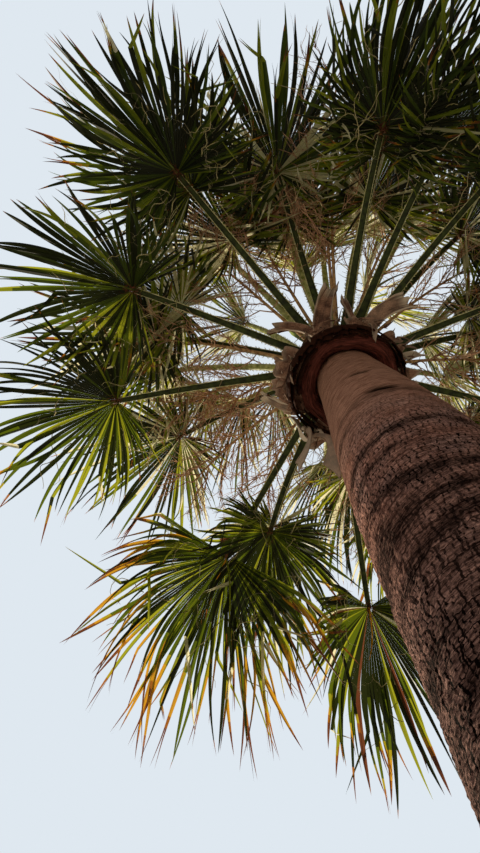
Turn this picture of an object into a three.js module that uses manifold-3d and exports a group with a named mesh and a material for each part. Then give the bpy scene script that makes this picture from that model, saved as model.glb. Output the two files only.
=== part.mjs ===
// A fan palm tree, about nine metres tall: a leaning trunk that swells below its tip, a collar of fibre and
// old leaf bases, and a round crown of fan-shaped fronds with fruit stalks between them.
// Lengths are in millimetres and angles in degrees. The origin is the middle of the trunk's foot, at ground
// level, and +Z is up.

import * as THREE from 'three';
import { mergeVertices } from 'three/addons/utils/BufferGeometryUtils.js';
import Module from 'manifold-3d';

const wasm = await Module();
wasm.setup();

// Trunk
const TRUNK_HEIGHT = 6350;
const LEAN_X = 120; // how far the tip stands off the foot
const LEAN_Y = -520;
const BOW = 130; // sideways bow at mid-height, along X
const TIP_RADIUS = 230;
const SWELLING_RADIUS = 362;
const SHAFT_RADIUS = 330;
const FOOT_RADIUS = 430;
const SWELLING_DEPTH = 2300; // how far under the tip the trunk is thickest
const SHAFT_DEPTH = 3700; // how far under the tip it is down to its plain shaft
const FLARE_HEIGHT = 520; // height of the root flare
const TRUNK_SIDES = 24;
const TRUNK_RINGS = 17;

// Collar of fibre, which sits over the trunk's tip like a cap: radius and height above the tip, from its lip up
const COLLAR_PROFILE = [
  [298, -96],
  [346, -50],
  [372, 50],
  [358, 190],
  [338, 360],
  [305, 540],
  [238, 690],
  [130, 760],
];
const COLLAR_TOP = 785;
const RECESS_DEPTH = 70; // how far the collar hangs down round the tip
const RECESS_RADIUS = [TIP_RADIUS + 14, TIP_RADIUS + 22]; // at the tip and at the lip
const COLLAR_SIDES = 22;
const COLLAR_WAVE = 9; // how far the collar's outline swells and shrinks round the crown
const COLLAR_WAVES = 5;

// Old leaf bases, the stubs of cut fronds that stand round the collar
const BASE_COUNT = 9;
const BASE_WIDTH = 200;
const BASE_LENGTH = 300;
const BASE_THICKNESS = 26;
const BASE_FOOT = -70; // height of a stub's foot above the trunk's tip
const BASE_FLARE = 27; // how far a stub leans out
const BASE_SINK = 16; // how deep a stub's foot would lie in the collar, if it weren't cut clear

// Fronds: a stalk that carries a fan of leaflets, which are joined for part of their length
const STALK_WIDTH = 76; // across, at the crown
const STALK_END_WIDTH = 42; // across, at the fan
const STALK_DEPTH = 0.55; // depth of a stalk as a share of its width
const STALK_SIDES = 6;
const STALK_STATIONS = 6;
const STALK_SINK = 35; // how deep a stalk's foot would lie in the collar, if it weren't cut clear
const LEAF_THICKNESS = 14;
const APEX_REACH = 36; // where the leaflets begin, in front of the hub
const JOINED_SHARE = 0.44; // share of the fan's radius along which neighbours are joined
const MIDRIB_SHARE = 0.26; // how far the stalk runs on into the fan
const MIDRIB_TAPER = [1, 0.8, 0.35]; // its width at its start, middle and end, as a share of the stalk's
const STALK_CURVE = 0.45; // how far along the stalk its bend lies back from the hub
const WAIST = 0.66; // width of a leaflet halfway along its free part, as a share of its width at the split
const BACK_SHORTENING = 0.24; // how much shorter the leaflets are towards the back of the fan
const SPLIT_PITCH = -12; // a frond whose fan hangs lower than this is in two pieces, stalk and blade
const LENGTH_TRIALS = [1, 0.86, 0.72, 0.58, 0.46, 0.36, 0.26, 0.16]; // a leaflet is shortened until it is clear
const CLEARANCE = 0.3; // between a piece and what carries it
const SLOPE_CLEARANCE = 0.42; // sideways from the collar, which leaves about 0.3 square to its slope
const NEIGHBOUR_GAP = 2; // least space between two fronds

// One row for each frond: azimuth, reach of the fan's hub from the crown's axis, the hub's height above the
// trunk's tip, the fan's pitch, radius, droop, dome, half spread, roll and leaflets, height of the stalk's foot
const LOW_FRONDS = [
  [122, 1680, 240, -22, 1330, 1.1, 1.0, 92, 8, 15, 420],
  [84, 1830, 110, -30, 1320, 1.0, 1.3, 84, -6, 15, 400],
  [174, 1700, 300, -20, 1280, 1.2, 0.9, 96, 4, 15, 430],
  [-129, 1690, 560, -14, 1300, 1.2, 0.8, 96, -6, 15, 460],
  [-78, 1590, 600, -16, 1300, 1.2, 0.8, 96, 6, 15, 440],
  [-20, 1500, 420, -22, 1260, 1.3, 0.9, 94, 0, 15, 420],
  [42, 1640, 260, -28, 1260, 1.3, 0.9, 94, 4, 15, 430],
  [13, 1560, 140, -36, 1220, 1.2, 1.0, 90, -4, 13, 380],
  [-52, 1800, 260, -30, 1240, 1.2, 0.9, 92, 4, 13, 400],
  [-157, 1640, 300, -26, 1220, 1.2, 0.9, 92, 0, 13, 400],
];
const MIDDLE_FRONDS = [
  [108, 1560, 840, -4, 1180, 1.2, 0.8, 96, 4, 13, 520],
  [-105, 1480, 1000, 4, 1220, 1.2, 0.7, 96, -4, 13, 540],
  [150, 1440, 1050, 6, 1160, 1.1, 0.7, 96, 4, 13, 540],
  [-172, 1420, 860, 0, 1160, 1.2, 0.8, 96, 0, 13, 530],
  [-40, 1420, 1000, 4, 1180, 1.2, 0.8, 96, 0, 13, 530],
  [66, 1480, 980, 2, 1160, 1.2, 0.8, 96, 0, 13, 530],
  [28, 1440, 1060, 6, 1140, 1.2, 0.8, 96, 4, 13, 540],
  [-6, 1460, 960, 4, 1140, 1.2, 0.8, 96, -4, 13, 530],
];

// Upper fronds follow one rule: each stands a golden angle on from the last, and steeper. A pair of values
// is for the first and the last.
const UPPER_COUNT = 10;
const UPPER_START = 171;
const GOLDEN_ANGLE = 137.5;
const UPPER_RISE = [34, 72]; // angle of the line from foot to hub
const UPPER_LENGTH = [1330, 1120]; // along that line
const UPPER_FOOT = [560, 640];
const UPPER_FOOT_REACH = 200;
const UPPER_NOD = 12; // how much lower the fan points than that line
const UPPER_RADIUS = [1140, 960];
const UPPER_FAN = [1.0, 0.5, 100, 0, 11]; // droop, dome, half spread, roll, leaflets

// Spear leaves: young, still folded, in the middle of the crown: azimuth, tilt, length
const SPEARS = [
  [40, 6, 1560],
  [-150, 11, 1380],
];
const SPEAR_WIDTH = 90;
const SPEAR_SHAPE = [[0, 0.5], [0.45, 0.62], [0.75, 1], [1, 0.12]]; // shares of its length and width
const SPEAR_DEPTH = 0.6; // share of its width
const SPEAR_SPACING = 70; // from the crown's axis
const SPEAR_SINK = 60; // how deep a spear's foot would lie in the collar, if it weren't cut clear

// Fruit stalks: azimuth, reach, height of the tip above the trunk's tip, height of the foot, side twigs
const FRUIT_STALKS = [
  [140, 1500, 620, 500, 6],
  [-172, 1560, 640, 480, 6],
  [-90, 1700, 900, 500, 6],
  [-30, 1500, 840, 590, 6],
  [2, 1500, 620, 470, 6],
  [75, 1500, 700, 480, 6],
];
const FRUIT_STALK_WIDTH = 34;
const FRUIT_STALK_ARCH = 280; // how far its bend lies above its ends
const TWIG_LENGTH = 380;
const TWIG_WIDTH = 13;
const TWIG_SPAN = [0.42, 0.97]; // where the first and last twig leave the stalk, as shares of its length
const TWIG_TURN = 0.8; // how far a twig turns aside, and down, from the way of the stalk
const TWIG_FALL = 0.45;

const UP = new THREE.Vector3(0, 0, 1);
const radians = THREE.MathUtils.degToRad;
const mix = THREE.MathUtils.lerp;

// A seeded draw between -1 and 1
function seededDraw(seed) {
  let state = seed;
  return () => {
    state = (state * 1664525 + 1013904223) % 4294967296;
    return (state / 4294967296) * 2 - 1;
  };
}

// Solids and geometries

function geometryOf(points, triangles) {
  const geometry = new THREE.BufferGeometry();
  const numbers = points.flatMap((point) => [point.x, point.y, point.z]);
  geometry.setAttribute('position', new THREE.Float32BufferAttribute(numbers, 3));
  geometry.setIndex(triangles.flat());
  return geometry;
}

function solidOf(geometry) {
  const bare = new THREE.BufferGeometry();
  bare.setAttribute('position', geometry.attributes.position);
  if (geometry.index) bare.setIndex(geometry.index);
  const merged = mergeVertices(bare, 0.001);
  const corners = merged.index.array;
  const kept = [];
  for (let i = 0; i < corners.length; i += 3) {
    const [a, b, c] = corners.slice(i, i + 3);
    if (a !== b && b !== c && c !== a) kept.push(a, b, c);
  }
  return new wasm.Manifold(new wasm.Mesh({
    numProp: 3,
    vertProperties: Float32Array.from(merged.attributes.position.array),
    triVerts: Uint32Array.from(kept),
  }));
}

function geometryFrom(solid) {
  const mesh = solid.getMesh();
  const geometry = new THREE.BufferGeometry();
  geometry.setAttribute('position', new THREE.BufferAttribute(mesh.vertProperties, mesh.numProp));
  geometry.setIndex(new THREE.BufferAttribute(mesh.triVerts, 1));
  return geometry;
}

// Rings of points joined side by side, with a fan over each end
function sweptSolid(rings) {
  const sides = rings[0].length;
  const points = rings.flat();
  const triangles = [];
  for (let ring = 0; ring + 1 < rings.length; ring += 1) {
    for (let side = 0; side < sides; side += 1) {
      const next = (side + 1) % sides;
      const [a, b] = [ring * sides + side, ring * sides + next];
      triangles.push([a, b, b + sides], [a, b + sides, a + sides]);
    }
  }
  const last = (rings.length - 1) * sides;
  for (let side = 1; side + 1 < sides; side += 1) {
    triangles.push([0, side + 1, side], [last, last + side, last + side + 1]);
  }
  return solidOf(geometryOf(points, triangles));
}

// A ring of points round a centre, in the plane of across and upward
function ringAt(centre, across, upward, halfWidth, halfDepth, sides) {
  return Array.from({ length: sides }, (_, side) => {
    const angle = (2 * Math.PI * (side + 0.5)) / sides;
    return centre.clone()
      .addScaledVector(across, Math.cos(angle) * halfWidth)
      .addScaledVector(upward, Math.sin(angle) * halfDepth);
  });
}

// A tapering rod with the given number of sides from one point to another
function rod(from, to, width, endWidth, sides) {
  const along = to.clone().sub(from).normalize();
  const across = new THREE.Vector3().crossVectors(along, UP).normalize();
  const upward = new THREE.Vector3().crossVectors(along, across);
  return sweptSolid([
    ringAt(from, across, upward, width / 2, width / 2, sides),
    ringAt(to, across, upward, endWidth / 2, endWidth / 2, sides),
  ]);
}

// Trunk

function trunkCentre(height) {
  const share = height / TRUNK_HEIGHT;
  return new THREE.Vector3(LEAN_X * share + BOW * Math.sin(Math.PI * share), LEAN_Y * share, height);
}

function trunkRadius(height) {
  const depth = TRUNK_HEIGHT - height;
  const swelling = Math.sin((Math.min(1, depth / SWELLING_DEPTH) * Math.PI) / 2) ** 1.2;
  const slimming = THREE.MathUtils.smoothstep(depth, SWELLING_DEPTH, SHAFT_DEPTH);
  const flare = Math.max(0, 1 - height / FLARE_HEIGHT) ** 2;
  return mix(TIP_RADIUS, SWELLING_RADIUS, swelling) - (SWELLING_RADIUS - SHAFT_RADIUS) * slimming
    + (FOOT_RADIUS - SHAFT_RADIUS) * flare;
}

// A lathe turned about +Z, with each point moved by the shift for its height
function leaningLathe(profile, sides, shift) {
  const outline = profile.map(([radius, height]) => new THREE.Vector2(radius, height));
  const geometry = new THREE.LatheGeometry(outline, sides);
  geometry.rotateX(Math.PI / 2);
  const places = geometry.attributes.position;
  const point = new THREE.Vector3();
  for (let i = 0; i < places.count; i += 1) {
    point.fromBufferAttribute(places, i);
    point.add(shift(point));
    places.setXYZ(i, point.x, point.y, point.z);
  }
  return geometry;
}

function makeTrunk() {
  const profile = [[0, 0]];
  for (let ring = 0; ring <= TRUNK_RINGS; ring += 1) {
    const height = TRUNK_HEIGHT * (ring / TRUNK_RINGS) ** 1.25;
    profile.push([trunkRadius(height), height]);
  }
  profile.push([0, TRUNK_HEIGHT]);
  return solidOf(leaningLathe(profile, TRUNK_SIDES, (point) => trunkCentre(point.z).setZ(0)));
}

// Crown: places round the tip, on an axis that runs on from the trunk's

const TIP = trunkCentre(TRUNK_HEIGHT);
const CROWN_AXIS = TIP.clone().sub(trunkCentre(TRUNK_HEIGHT - 1));

function outward(azimuth) {
  return new THREE.Vector3(Math.cos(radians(azimuth)), Math.sin(radians(azimuth)), 0);
}

function crownPoint(azimuth, radius, height) {
  return TIP.clone().addScaledVector(CROWN_AXIS, height).addScaledVector(outward(azimuth), radius);
}

function collarWave(azimuth) {
  return COLLAR_WAVE * Math.sin(COLLAR_WAVES * radians(azimuth));
}

// The collar's outer radius at a height above the trunk's tip
function collarRadius(azimuth, height) {
  const above = COLLAR_PROFILE.findIndex(([, level]) => level > height);
  const [[lowRadius, low], [highRadius, high]] = COLLAR_PROFILE.slice(above - 1, above + 1);
  return mix(lowRadius, highRadius, (height - low) / (high - low)) + collarWave(azimuth);
}

// The collar, or with its outer side grown by the clearance, what cuts its neighbours clear of it
function makeCollar(grown) {
  const profile = [
    [0, CLEARANCE],
    [RECESS_RADIUS[0], CLEARANCE],
    [RECESS_RADIUS[1], -RECESS_DEPTH],
    ...COLLAR_PROFILE.map(([radius, height]) => [radius + grown, height]),
    [0, COLLAR_TOP + grown],
  ];
  return solidOf(leaningLathe(profile, COLLAR_SIDES, (point) => {
    const azimuth = THREE.MathUtils.radToDeg(Math.atan2(point.y, point.x));
    const outer = point.z > CLEARANCE + 1 || Math.hypot(point.x, point.y) > RECESS_RADIUS[1] + 1;
    return TIP.clone().addScaledVector(CROWN_AXIS, point.z).setZ(TRUNK_HEIGHT)
      .addScaledVector(outward(azimuth), outer ? collarWave(azimuth) : 0);
  }));
}

// A stub's outline, in shares of its width and length and split at its top, is thickened, wrapped round the
// collar and leant out
function makeLeafBase(number, draw) {
  const azimuth = (360 / BASE_COUNT) * number + 2 * draw();
  const width = BASE_WIDTH * (1 + 0.05 * draw());
  const length = BASE_LENGTH * (1 + 0.16 * draw());
  const flare = radians(BASE_FLARE + 9 * draw());
  const notch = 0.1 * width * draw();
  const outline = new THREE.Shape([
    new THREE.Vector2(-width / 2, 0),
    new THREE.Vector2(0, -length * 0.04),
    new THREE.Vector2(width / 2, 0),
    new THREE.Vector2(width * 0.37, length * 0.55),
    new THREE.Vector2(width * 0.27, length),
    new THREE.Vector2(notch, length * 0.72),
    new THREE.Vector2(-width * 0.22, length * 0.94),
    new THREE.Vector2(-width * 0.36, length * 0.5),
  ]);
  const geometry = new THREE.ExtrudeGeometry(outline, { depth: BASE_THICKNESS, bevelEnabled: false });
  const places = geometry.attributes.position;
  const foot = collarRadius(azimuth, 0) - BASE_SINK;
  for (let i = 0; i < places.count; i += 1) {
    const [across, along, out] = [places.getX(i), places.getY(i), places.getZ(i)];
    const radius = foot + along * Math.sin(flare) + out * Math.cos(flare);
    const height = BASE_FOOT + along * Math.cos(flare) - out * Math.sin(flare);
    const place = crownPoint(azimuth + THREE.MathUtils.radToDeg(across / foot), radius, height);
    places.setXYZ(i, place.x, place.y, place.z);
  }
  return solidOf(geometry);
}

// Fronds

// A frond's named sizes, from its row, with the directions of its fan: heading, across and normal
function frondFrom(row) {
  const [azimuth, reach, height, pitch, radius, droop, dome, spread, roll, leaflets, foot] = row;
  const away = outward(azimuth);
  const side = new THREE.Vector3().crossVectors(UP, away);
  const heading = away.clone().multiplyScalar(Math.cos(radians(pitch)))
    .addScaledVector(UP, Math.sin(radians(pitch)));
  const across = side.clone().applyAxisAngle(heading, radians(roll));
  const normal = new THREE.Vector3().crossVectors(heading, across);
  const hub = crownPoint(azimuth, reach, height);
  return { azimuth, foot, pitch, radius, droop, dome, spread: radians(spread), leaflets, hub, side, heading,
    across, normal };
}

function upperFrond(number) {
  const share = number / (UPPER_COUNT - 1);
  const rise = mix(...UPPER_RISE, share);
  const length = mix(...UPPER_LENGTH, share);
  const foot = mix(...UPPER_FOOT, share);
  const reach = UPPER_FOOT_REACH + length * Math.cos(radians(rise));
  const height = foot + length * Math.sin(radians(rise));
  const azimuth = UPPER_START + GOLDEN_ANGLE * number;
  return frondFrom([azimuth, reach, height, rise - UPPER_NOD, mix(...UPPER_RADIUS, share), ...UPPER_FAN, foot]);
}

// The stalk is a quadratic curve from the collar to the hub, and meets the fan along its heading
function stalkCurve(frond) {
  const start = crownPoint(frond.azimuth, collarRadius(frond.azimuth, frond.foot) - STALK_SINK, frond.foot);
  const bend = frond.hub.clone().addScaledVector(frond.heading, -STALK_CURVE * start.distanceTo(frond.hub));
  return new THREE.QuadraticBezierCurve3(start, bend, frond.hub);
}

function makeStalk(frond) {
  const curve = stalkCurve(frond);
  const rings = [];
  for (let station = 0; station < STALK_STATIONS; station += 1) {
    const share = station / (STALK_STATIONS - 1);
    const halfWidth = mix(STALK_WIDTH, STALK_END_WIDTH, share ** 0.7) / 2;
    const upward = new THREE.Vector3().crossVectors(curve.getTangent(share), frond.side);
    rings.push(ringAt(curve.getPoint(share), frond.side, upward, halfWidth, halfWidth * STALK_DEPTH,
      STALK_SIDES));
  }
  return sweptSolid(rings);
}

// The stalk's end runs on under the fan as a midrib
function makeMidrib(frond, start) {
  const rings = MIDRIB_TAPER.map((taper, ring) => {
    const halfWidth = (STALK_END_WIDTH / 2) * taper;
    const centre = leafletPoint(frond, 0, mix(start, frond.radius * MIDRIB_SHARE, ring / 2));
    return ringAt(centre, frond.across, frond.normal, halfWidth, halfWidth * STALK_DEPTH + 2, STALK_SIDES);
  });
  return sweptSolid(rings);
}

// A leaflet sets off in the fan's dome and then turns down by its own weight
function leafletPoint(frond, angle, reach) {
  const { heading, across, normal, dome, droop, radius, hub } = frond;
  const fold = Math.abs(angle) < Math.PI / 2 ? Math.sin(angle) ** 2 : 1;
  const start = heading.clone().multiplyScalar(Math.cos(angle))
    .addScaledVector(across, Math.sin(angle))
    .addScaledVector(normal, -dome * fold)
    .normalize();
  const steps = 8;
  const place = hub.clone();
  for (let step = 0; step < steps; step += 1) {
    const share = ((step + 0.5) * reach) / steps / radius;
    const way = start.clone().addScaledVector(UP, -droop * share ** 2).normalize();
    place.addScaledVector(way, reach / steps);
  }
  return place;
}

// The two faces of the blade at one place, half its thickness to each side
function facePair(frond, angle, reach) {
  const place = leafletPoint(frond, angle, reach);
  const along = leafletPoint(frond, angle, reach + 5).sub(place);
  const around = leafletPoint(frond, angle + 0.04, reach).sub(leafletPoint(frond, angle - 0.04, reach));
  const half = along.cross(around).normalize().multiplyScalar(LEAF_THICKNESS / 2);
  return [place.clone().add(half), place.clone().sub(half)];
}

// The fan from one leaflet to another, as one sheet: neighbours are joined up to the split, or to the end
// of the shorter one, and past the split each leaflet is a tongue of its own length
function makeFan(frond, lengths, first = 0, last = frond.leaflets - 1) {
  const { spread, leaflets, radius } = frond;
  const pitch = (2 * spread) / leaflets;
  const split = radius * JOINED_SHARE;
  const lengthOf = (leaflet) => (leaflet < first || leaflet > last ? split : lengths[leaflet]);
  const points = [];
  const triangles = [];
  const addPair = (angle, reach) => points.push(...facePair(frond, angle, reach)) - 2;
  const face = (a, b, c) => triangles.push([a, b, c], [a + 1, c + 1, b + 1]);
  const wall = (a, b) => triangles.push([a, a + 1, b + 1], [a, b + 1, b]);
  const apex = addPair(0, APEX_REACH);
  const edges = [];
  for (let edge = first; edge <= last + 1; edge += 1) {
    edges.push(addPair(-spread + edge * pitch, Math.min(split, lengthOf(edge - 1), lengthOf(edge))));
  }
  for (let leaflet = first; leaflet <= last; leaflet += 1) {
    const [right, left] = edges.slice(leaflet - first, leaflet - first + 2);
    const middle = -spread + (leaflet + 0.5) * pitch;
    const length = lengths[leaflet];
    face(apex, right, left);
    if (length <= split) {
      wall(right, left);
    } else {
      const waist = (split + length) / 2;
      const half = ((split / waist) * WAIST * pitch) / 2;
      const [waistRight, waistLeft] = [addPair(middle - half, waist), addPair(middle + half, waist)];
      const tip = addPair(middle, length);
      face(right, waistRight, waistLeft);
      face(right, waistLeft, left);
      face(waistRight, tip, waistLeft);
      wall(right, waistRight);
      wall(waistRight, tip);
      wall(tip, waistLeft);
      wall(waistLeft, left);
    }
  }
  wall(apex, edges[0]);
  wall(edges.at(-1), apex);
  return solidOf(geometryOf(points, triangles));
}

function fullLength(frond, leaflet, draw) {
  const angle = -frond.spread + ((leaflet + 0.5) * 2 * frond.spread) / frond.leaflets;
  return frond.radius * (1 - BACK_SHORTENING * (1 - Math.cos(angle))) * (1 + 0.05 * draw());
}

// Whether a solid is clear of all the others
function isClear(solid, others) {
  const { min, max } = solid.boundingBox();
  return others.every((other) => {
    const box = other.boundingBox();
    const apart = [0, 1, 2].some((axis) => (
      box.min[axis] > max[axis] + NEIGHBOUR_GAP || box.max[axis] < min[axis] - NEIGHBOUR_GAP
    ));
    return apart || solid.minGap(other, NEIGHBOUR_GAP) >= NEIGHBOUR_GAP;
  });
}

// Each leaflet is as long as leaves it clear of what is already there
function clearLengths(frond, others, draw) {
  return Array.from({ length: frond.leaflets }, (_, leaflet) => {
    const full = fullLength(frond, leaflet, draw);
    const fits = LENGTH_TRIALS.find((share) => {
      const lengths = [];
      lengths[leaflet] = full * share;
      return isClear(makeFan(frond, lengths, leaflet, leaflet), others);
    });
    return full * (fits ?? LENGTH_TRIALS.at(-1));
  });
}

// Spear leaves and fruit stalks

function makeSpear([azimuth, tilt, length]) {
  const foot = crownPoint(azimuth, SPEAR_SPACING, COLLAR_TOP - SPEAR_SINK);
  const along = UP.clone().multiplyScalar(Math.cos(radians(tilt)))
    .addScaledVector(outward(azimuth), Math.sin(radians(tilt)));
  const across = new THREE.Vector3().crossVectors(outward(azimuth), UP);
  const upward = new THREE.Vector3().crossVectors(along, across);
  const rings = SPEAR_SHAPE.map(([share, swell]) => {
    const half = (SPEAR_WIDTH / 2) * swell;
    const centre = foot.clone().addScaledVector(along, length * share);
    return ringAt(centre, across, upward, half, half * SPEAR_DEPTH, STALK_SIDES);
  });
  return sweptSolid(rings);
}

// An arching stem with side twigs that hang from its outer half. A twig that would touch is left out.
function makeFruitStalk([azimuth, reach, tipHeight, foot, twigs], others, draw) {
  const start = crownPoint(azimuth, collarRadius(azimuth, foot) - STALK_SINK, foot);
  const end = crownPoint(azimuth, reach, tipHeight);
  const bend = crownPoint(azimuth, reach * 0.62, Math.max(foot, tipHeight) + FRUIT_STALK_ARCH);
  const curve = new THREE.QuadraticBezierCurve3(start, bend, end);
  const side = new THREE.Vector3().crossVectors(UP, outward(azimuth));
  const rings = [];
  for (let station = 0; station < STALK_STATIONS; station += 1) {
    const share = station / (STALK_STATIONS - 1);
    const half = mix(FRUIT_STALK_WIDTH, TWIG_WIDTH, share) / 2;
    const upward = new THREE.Vector3().crossVectors(curve.getTangent(share), side);
    rings.push(ringAt(curve.getPoint(share), side, upward, half, half, 4));
  }
  let stalk = sweptSolid(rings);
  for (let twig = 0; twig < twigs; twig += 1) {
    const share = mix(...TWIG_SPAN, twig / (twigs - 1));
    const root = curve.getPoint(share);
    const turn = (twig % 2 ? 1 : -1) * (TWIG_TURN + 0.25 * draw());
    const way = curve.getTangent(share).addScaledVector(side, turn)
      .addScaledVector(UP, -TWIG_FALL + 0.4 * draw())
      .normalize();
    const tip = root.clone().addScaledVector(way, TWIG_LENGTH * (1 + 0.25 * draw()));
    const piece = rod(root, tip, TWIG_WIDTH * 1.2, TWIG_WIDTH * 0.7, 3);
    if (isClear(piece, others)) stalk = stalk.add(piece);
  }
  return stalk;
}

// The tree

const materials = {
  bark: new THREE.MeshStandardMaterial({ color: 0x86705e, roughness: 0.92, metalness: 0 }),
  fibre: new THREE.MeshStandardMaterial({ color: 0x4c2e22, roughness: 1, metalness: 0 }),
  leafBase: new THREE.MeshStandardMaterial({ color: 0xa99a88, roughness: 0.85, metalness: 0 }),
  stalk: new THREE.MeshStandardMaterial({ color: 0x7f9148, roughness: 0.55, metalness: 0 }),
  blade: new THREE.MeshStandardMaterial({ color: 0x4b6a2c, roughness: 0.5, metalness: 0 }),
  youngBlade: new THREE.MeshStandardMaterial({ color: 0x7d9a4a, roughness: 0.5, metalness: 0 }),
  fruitStalk: new THREE.MeshStandardMaterial({ color: 0x8c6043, roughness: 0.8, metalness: 0 }),
};

const tree = new THREE.Group();
const placed = [];

function place(name, solid, material) {
  const mesh = new THREE.Mesh(geometryFrom(solid), material);
  mesh.name = name;
  tree.add(mesh);
  placed.push(solid);
}

const draw = seededDraw(20);
const collarCutter = makeCollar(SLOPE_CLEARANCE);
const lowFronds = LOW_FRONDS.map(frondFrom);
const middleFronds = MIDDLE_FRONDS.map(frondFrom);
const upperFronds = Array.from({ length: UPPER_COUNT }, (_, number) => upperFrond(number));
const fronds = [...lowFronds, ...middleFronds, ...upperFronds];
const stalks = fronds.map((frond) => makeStalk(frond).subtract(collarCutter));

place('trunk', makeTrunk(), materials.bark);
place('fibre_collar', makeCollar(0), materials.fibre);
for (let number = 0; number < BASE_COUNT; number += 1) {
  const stub = makeLeafBase(number, draw).subtract(collarCutter);
  place(`leaf_base_${number + 1}`, stub, materials.leafBase);
}
SPEARS.forEach((row, number) => {
  place(`spear_leaf_${number + 1}`, makeSpear(row).subtract(collarCutter), materials.youngBlade);
});

fronds.forEach((frond, number) => {
  const others = [...placed, ...stalks.filter((stalk) => stalk !== stalks[number])];
  const lengths = clearLengths(frond, others, draw);
  const leaf = number < LOW_FRONDS.length + MIDDLE_FRONDS.length ? materials.blade : materials.youngBlade;
  const name = `frond_${number + 1}`;
  if (frond.pitch < SPLIT_PITCH) {
    place(`${name}_stalk`, stalks[number], materials.stalk);
    place(`${name}_blade`, makeFan(frond, lengths).add(makeMidrib(frond, CLEARANCE)), leaf);
  } else {
    place(name, makeFan(frond, lengths).add(makeMidrib(frond, -1)).add(stalks[number]), leaf);
  }
});
FRUIT_STALKS.forEach((row, number) => {
  const stalk = makeFruitStalk(row, placed, draw).subtract(collarCutter);
  place(`fruit_stalk_${number + 1}`, stalk, materials.fruitStalk);
});

export default tree;
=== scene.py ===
"""A fan palm tree, from the ground up: trunk, collar of fibre, old leaf bases, stalks, fans of leaflets,
young leaves and fruit stalks. Lengths are in metres. The origin is the middle of the trunk's foot, at ground
level, and +Z is up."""

import bpy
import numpy as np
from mathutils import Matrix


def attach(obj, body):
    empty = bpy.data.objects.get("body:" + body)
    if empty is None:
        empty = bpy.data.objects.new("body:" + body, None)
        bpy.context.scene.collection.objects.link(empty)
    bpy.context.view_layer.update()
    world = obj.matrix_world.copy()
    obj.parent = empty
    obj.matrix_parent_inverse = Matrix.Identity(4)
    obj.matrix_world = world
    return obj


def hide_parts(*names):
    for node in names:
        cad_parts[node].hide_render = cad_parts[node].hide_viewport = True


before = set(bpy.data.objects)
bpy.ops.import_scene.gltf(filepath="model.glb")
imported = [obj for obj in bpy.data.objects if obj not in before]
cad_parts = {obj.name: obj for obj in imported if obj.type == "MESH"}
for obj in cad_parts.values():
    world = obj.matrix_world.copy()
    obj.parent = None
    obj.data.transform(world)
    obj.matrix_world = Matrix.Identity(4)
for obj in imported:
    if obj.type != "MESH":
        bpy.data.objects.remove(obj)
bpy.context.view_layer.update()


# Camera, light and floor
# The camera stands beside the trunk and looks steeply up into the crown. A lamp behind the crown shines
# through the fans, a wide, soft one at the side fills the shade, and floor and backdrop are plain and pale.
CAMERA_PLACE = (-0.66, -1.43, 1.5)
CAMERA_RISE = np.radians(76)
CAMERA_ROLL = np.radians(-1.6)
LENS_LENGTH = 29.54  # millimetres, for a picture PICTURE_HEIGHT millimetres high
PICTURE_HEIGHT = 36
LAMPS = {  # the way to the lamp, its strength, its colour and its spread in degrees
    "key": ((-0.42, 0.86, 0.5), 5.6, "#fff0d4", 4),
    "fill": ((-0.85, -0.5, 0.15), 0.68, "#fff0ee", 60),
}
BACKDROP, BACKDROP_LIGHT = "#dfe8f0", 0.13  # its colour, and how strongly it lights the palm
FLOOR_HALF_WIDTH = 30
FLOOR_TONES = ("#b9b8b4", "#c6c4bf")


def linear(hex_colour):
    """The linear colour of an sRGB hex value, each channel through the sRGB curve."""
    channels = [int(hex_colour[start : start + 2], 16) / 255 for start in (1, 3, 5)]
    return (*(c / 12.92 if c <= 0.04045 else ((c + 0.055) / 1.055) ** 2.4 for c in channels), 1.0)


def add_node(holder, kind, inputs=(), output=0, **settings):
    """Adds a shader node with its settings, links or fills its inputs, and gives one of its outputs."""
    node = holder.node_tree.nodes.new("ShaderNode" + kind)
    for name, value in settings.items():
        setattr(node, name, value)
    for socket, value in dict(inputs).items():
        if isinstance(value, bpy.types.NodeSocket):
            holder.node_tree.links.new(value, node.inputs[socket])
        else:
            node.inputs[socket].default_value = value
    return node.outputs[output] if node.outputs else None


def new_material(name):
    """A material with nothing in it but its Object coordinates, which come with it."""
    material = bpy.data.materials.new(name)
    material.use_nodes = True
    material.node_tree.nodes.clear()
    return material, add_node(material, "TexCoord", output="Object")


def unit(vectors):
    """Vectors at length 1."""
    vectors = np.asarray(vectors, float)
    return vectors / np.linalg.norm(vectors, axis=-1, keepdims=True)


forward = np.array([0, np.cos(CAMERA_RISE), np.sin(CAMERA_RISE)])
level = np.array([1.0, 0, 0])
upright = np.cross(level, forward)
right = np.cos(CAMERA_ROLL) * level + np.sin(CAMERA_ROLL) * upright
camera_data = bpy.data.cameras.new("camera")
camera_data.sensor_fit = "VERTICAL"
camera_data.sensor_height = PICTURE_HEIGHT
camera_data.lens = LENS_LENGTH
camera = bpy.data.objects.new("camera", camera_data)
camera.matrix_world = Matrix(
    np.vstack([np.column_stack([right, np.cross(right, forward), -forward, CAMERA_PLACE]), [0, 0, 0, 1]])
)
bpy.context.scene.collection.objects.link(camera)
bpy.context.scene.camera = camera

for lamp_name, (way, strength, colour, spread) in LAMPS.items():
    lamp_data = bpy.data.lights.new(lamp_name, "SUN")
    lamp_data.energy = strength
    lamp_data.color = linear(colour)[:3]
    lamp_data.angle = np.radians(spread)
    lamp = bpy.data.objects.new(lamp_name, lamp_data)
    back = unit(way)
    sideways = unit(np.cross((0, 0, 1), back))
    lamp.matrix_world = Matrix(np.column_stack([sideways, np.cross(back, sideways), back])).to_4x4()
    bpy.context.scene.collection.objects.link(lamp)

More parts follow.
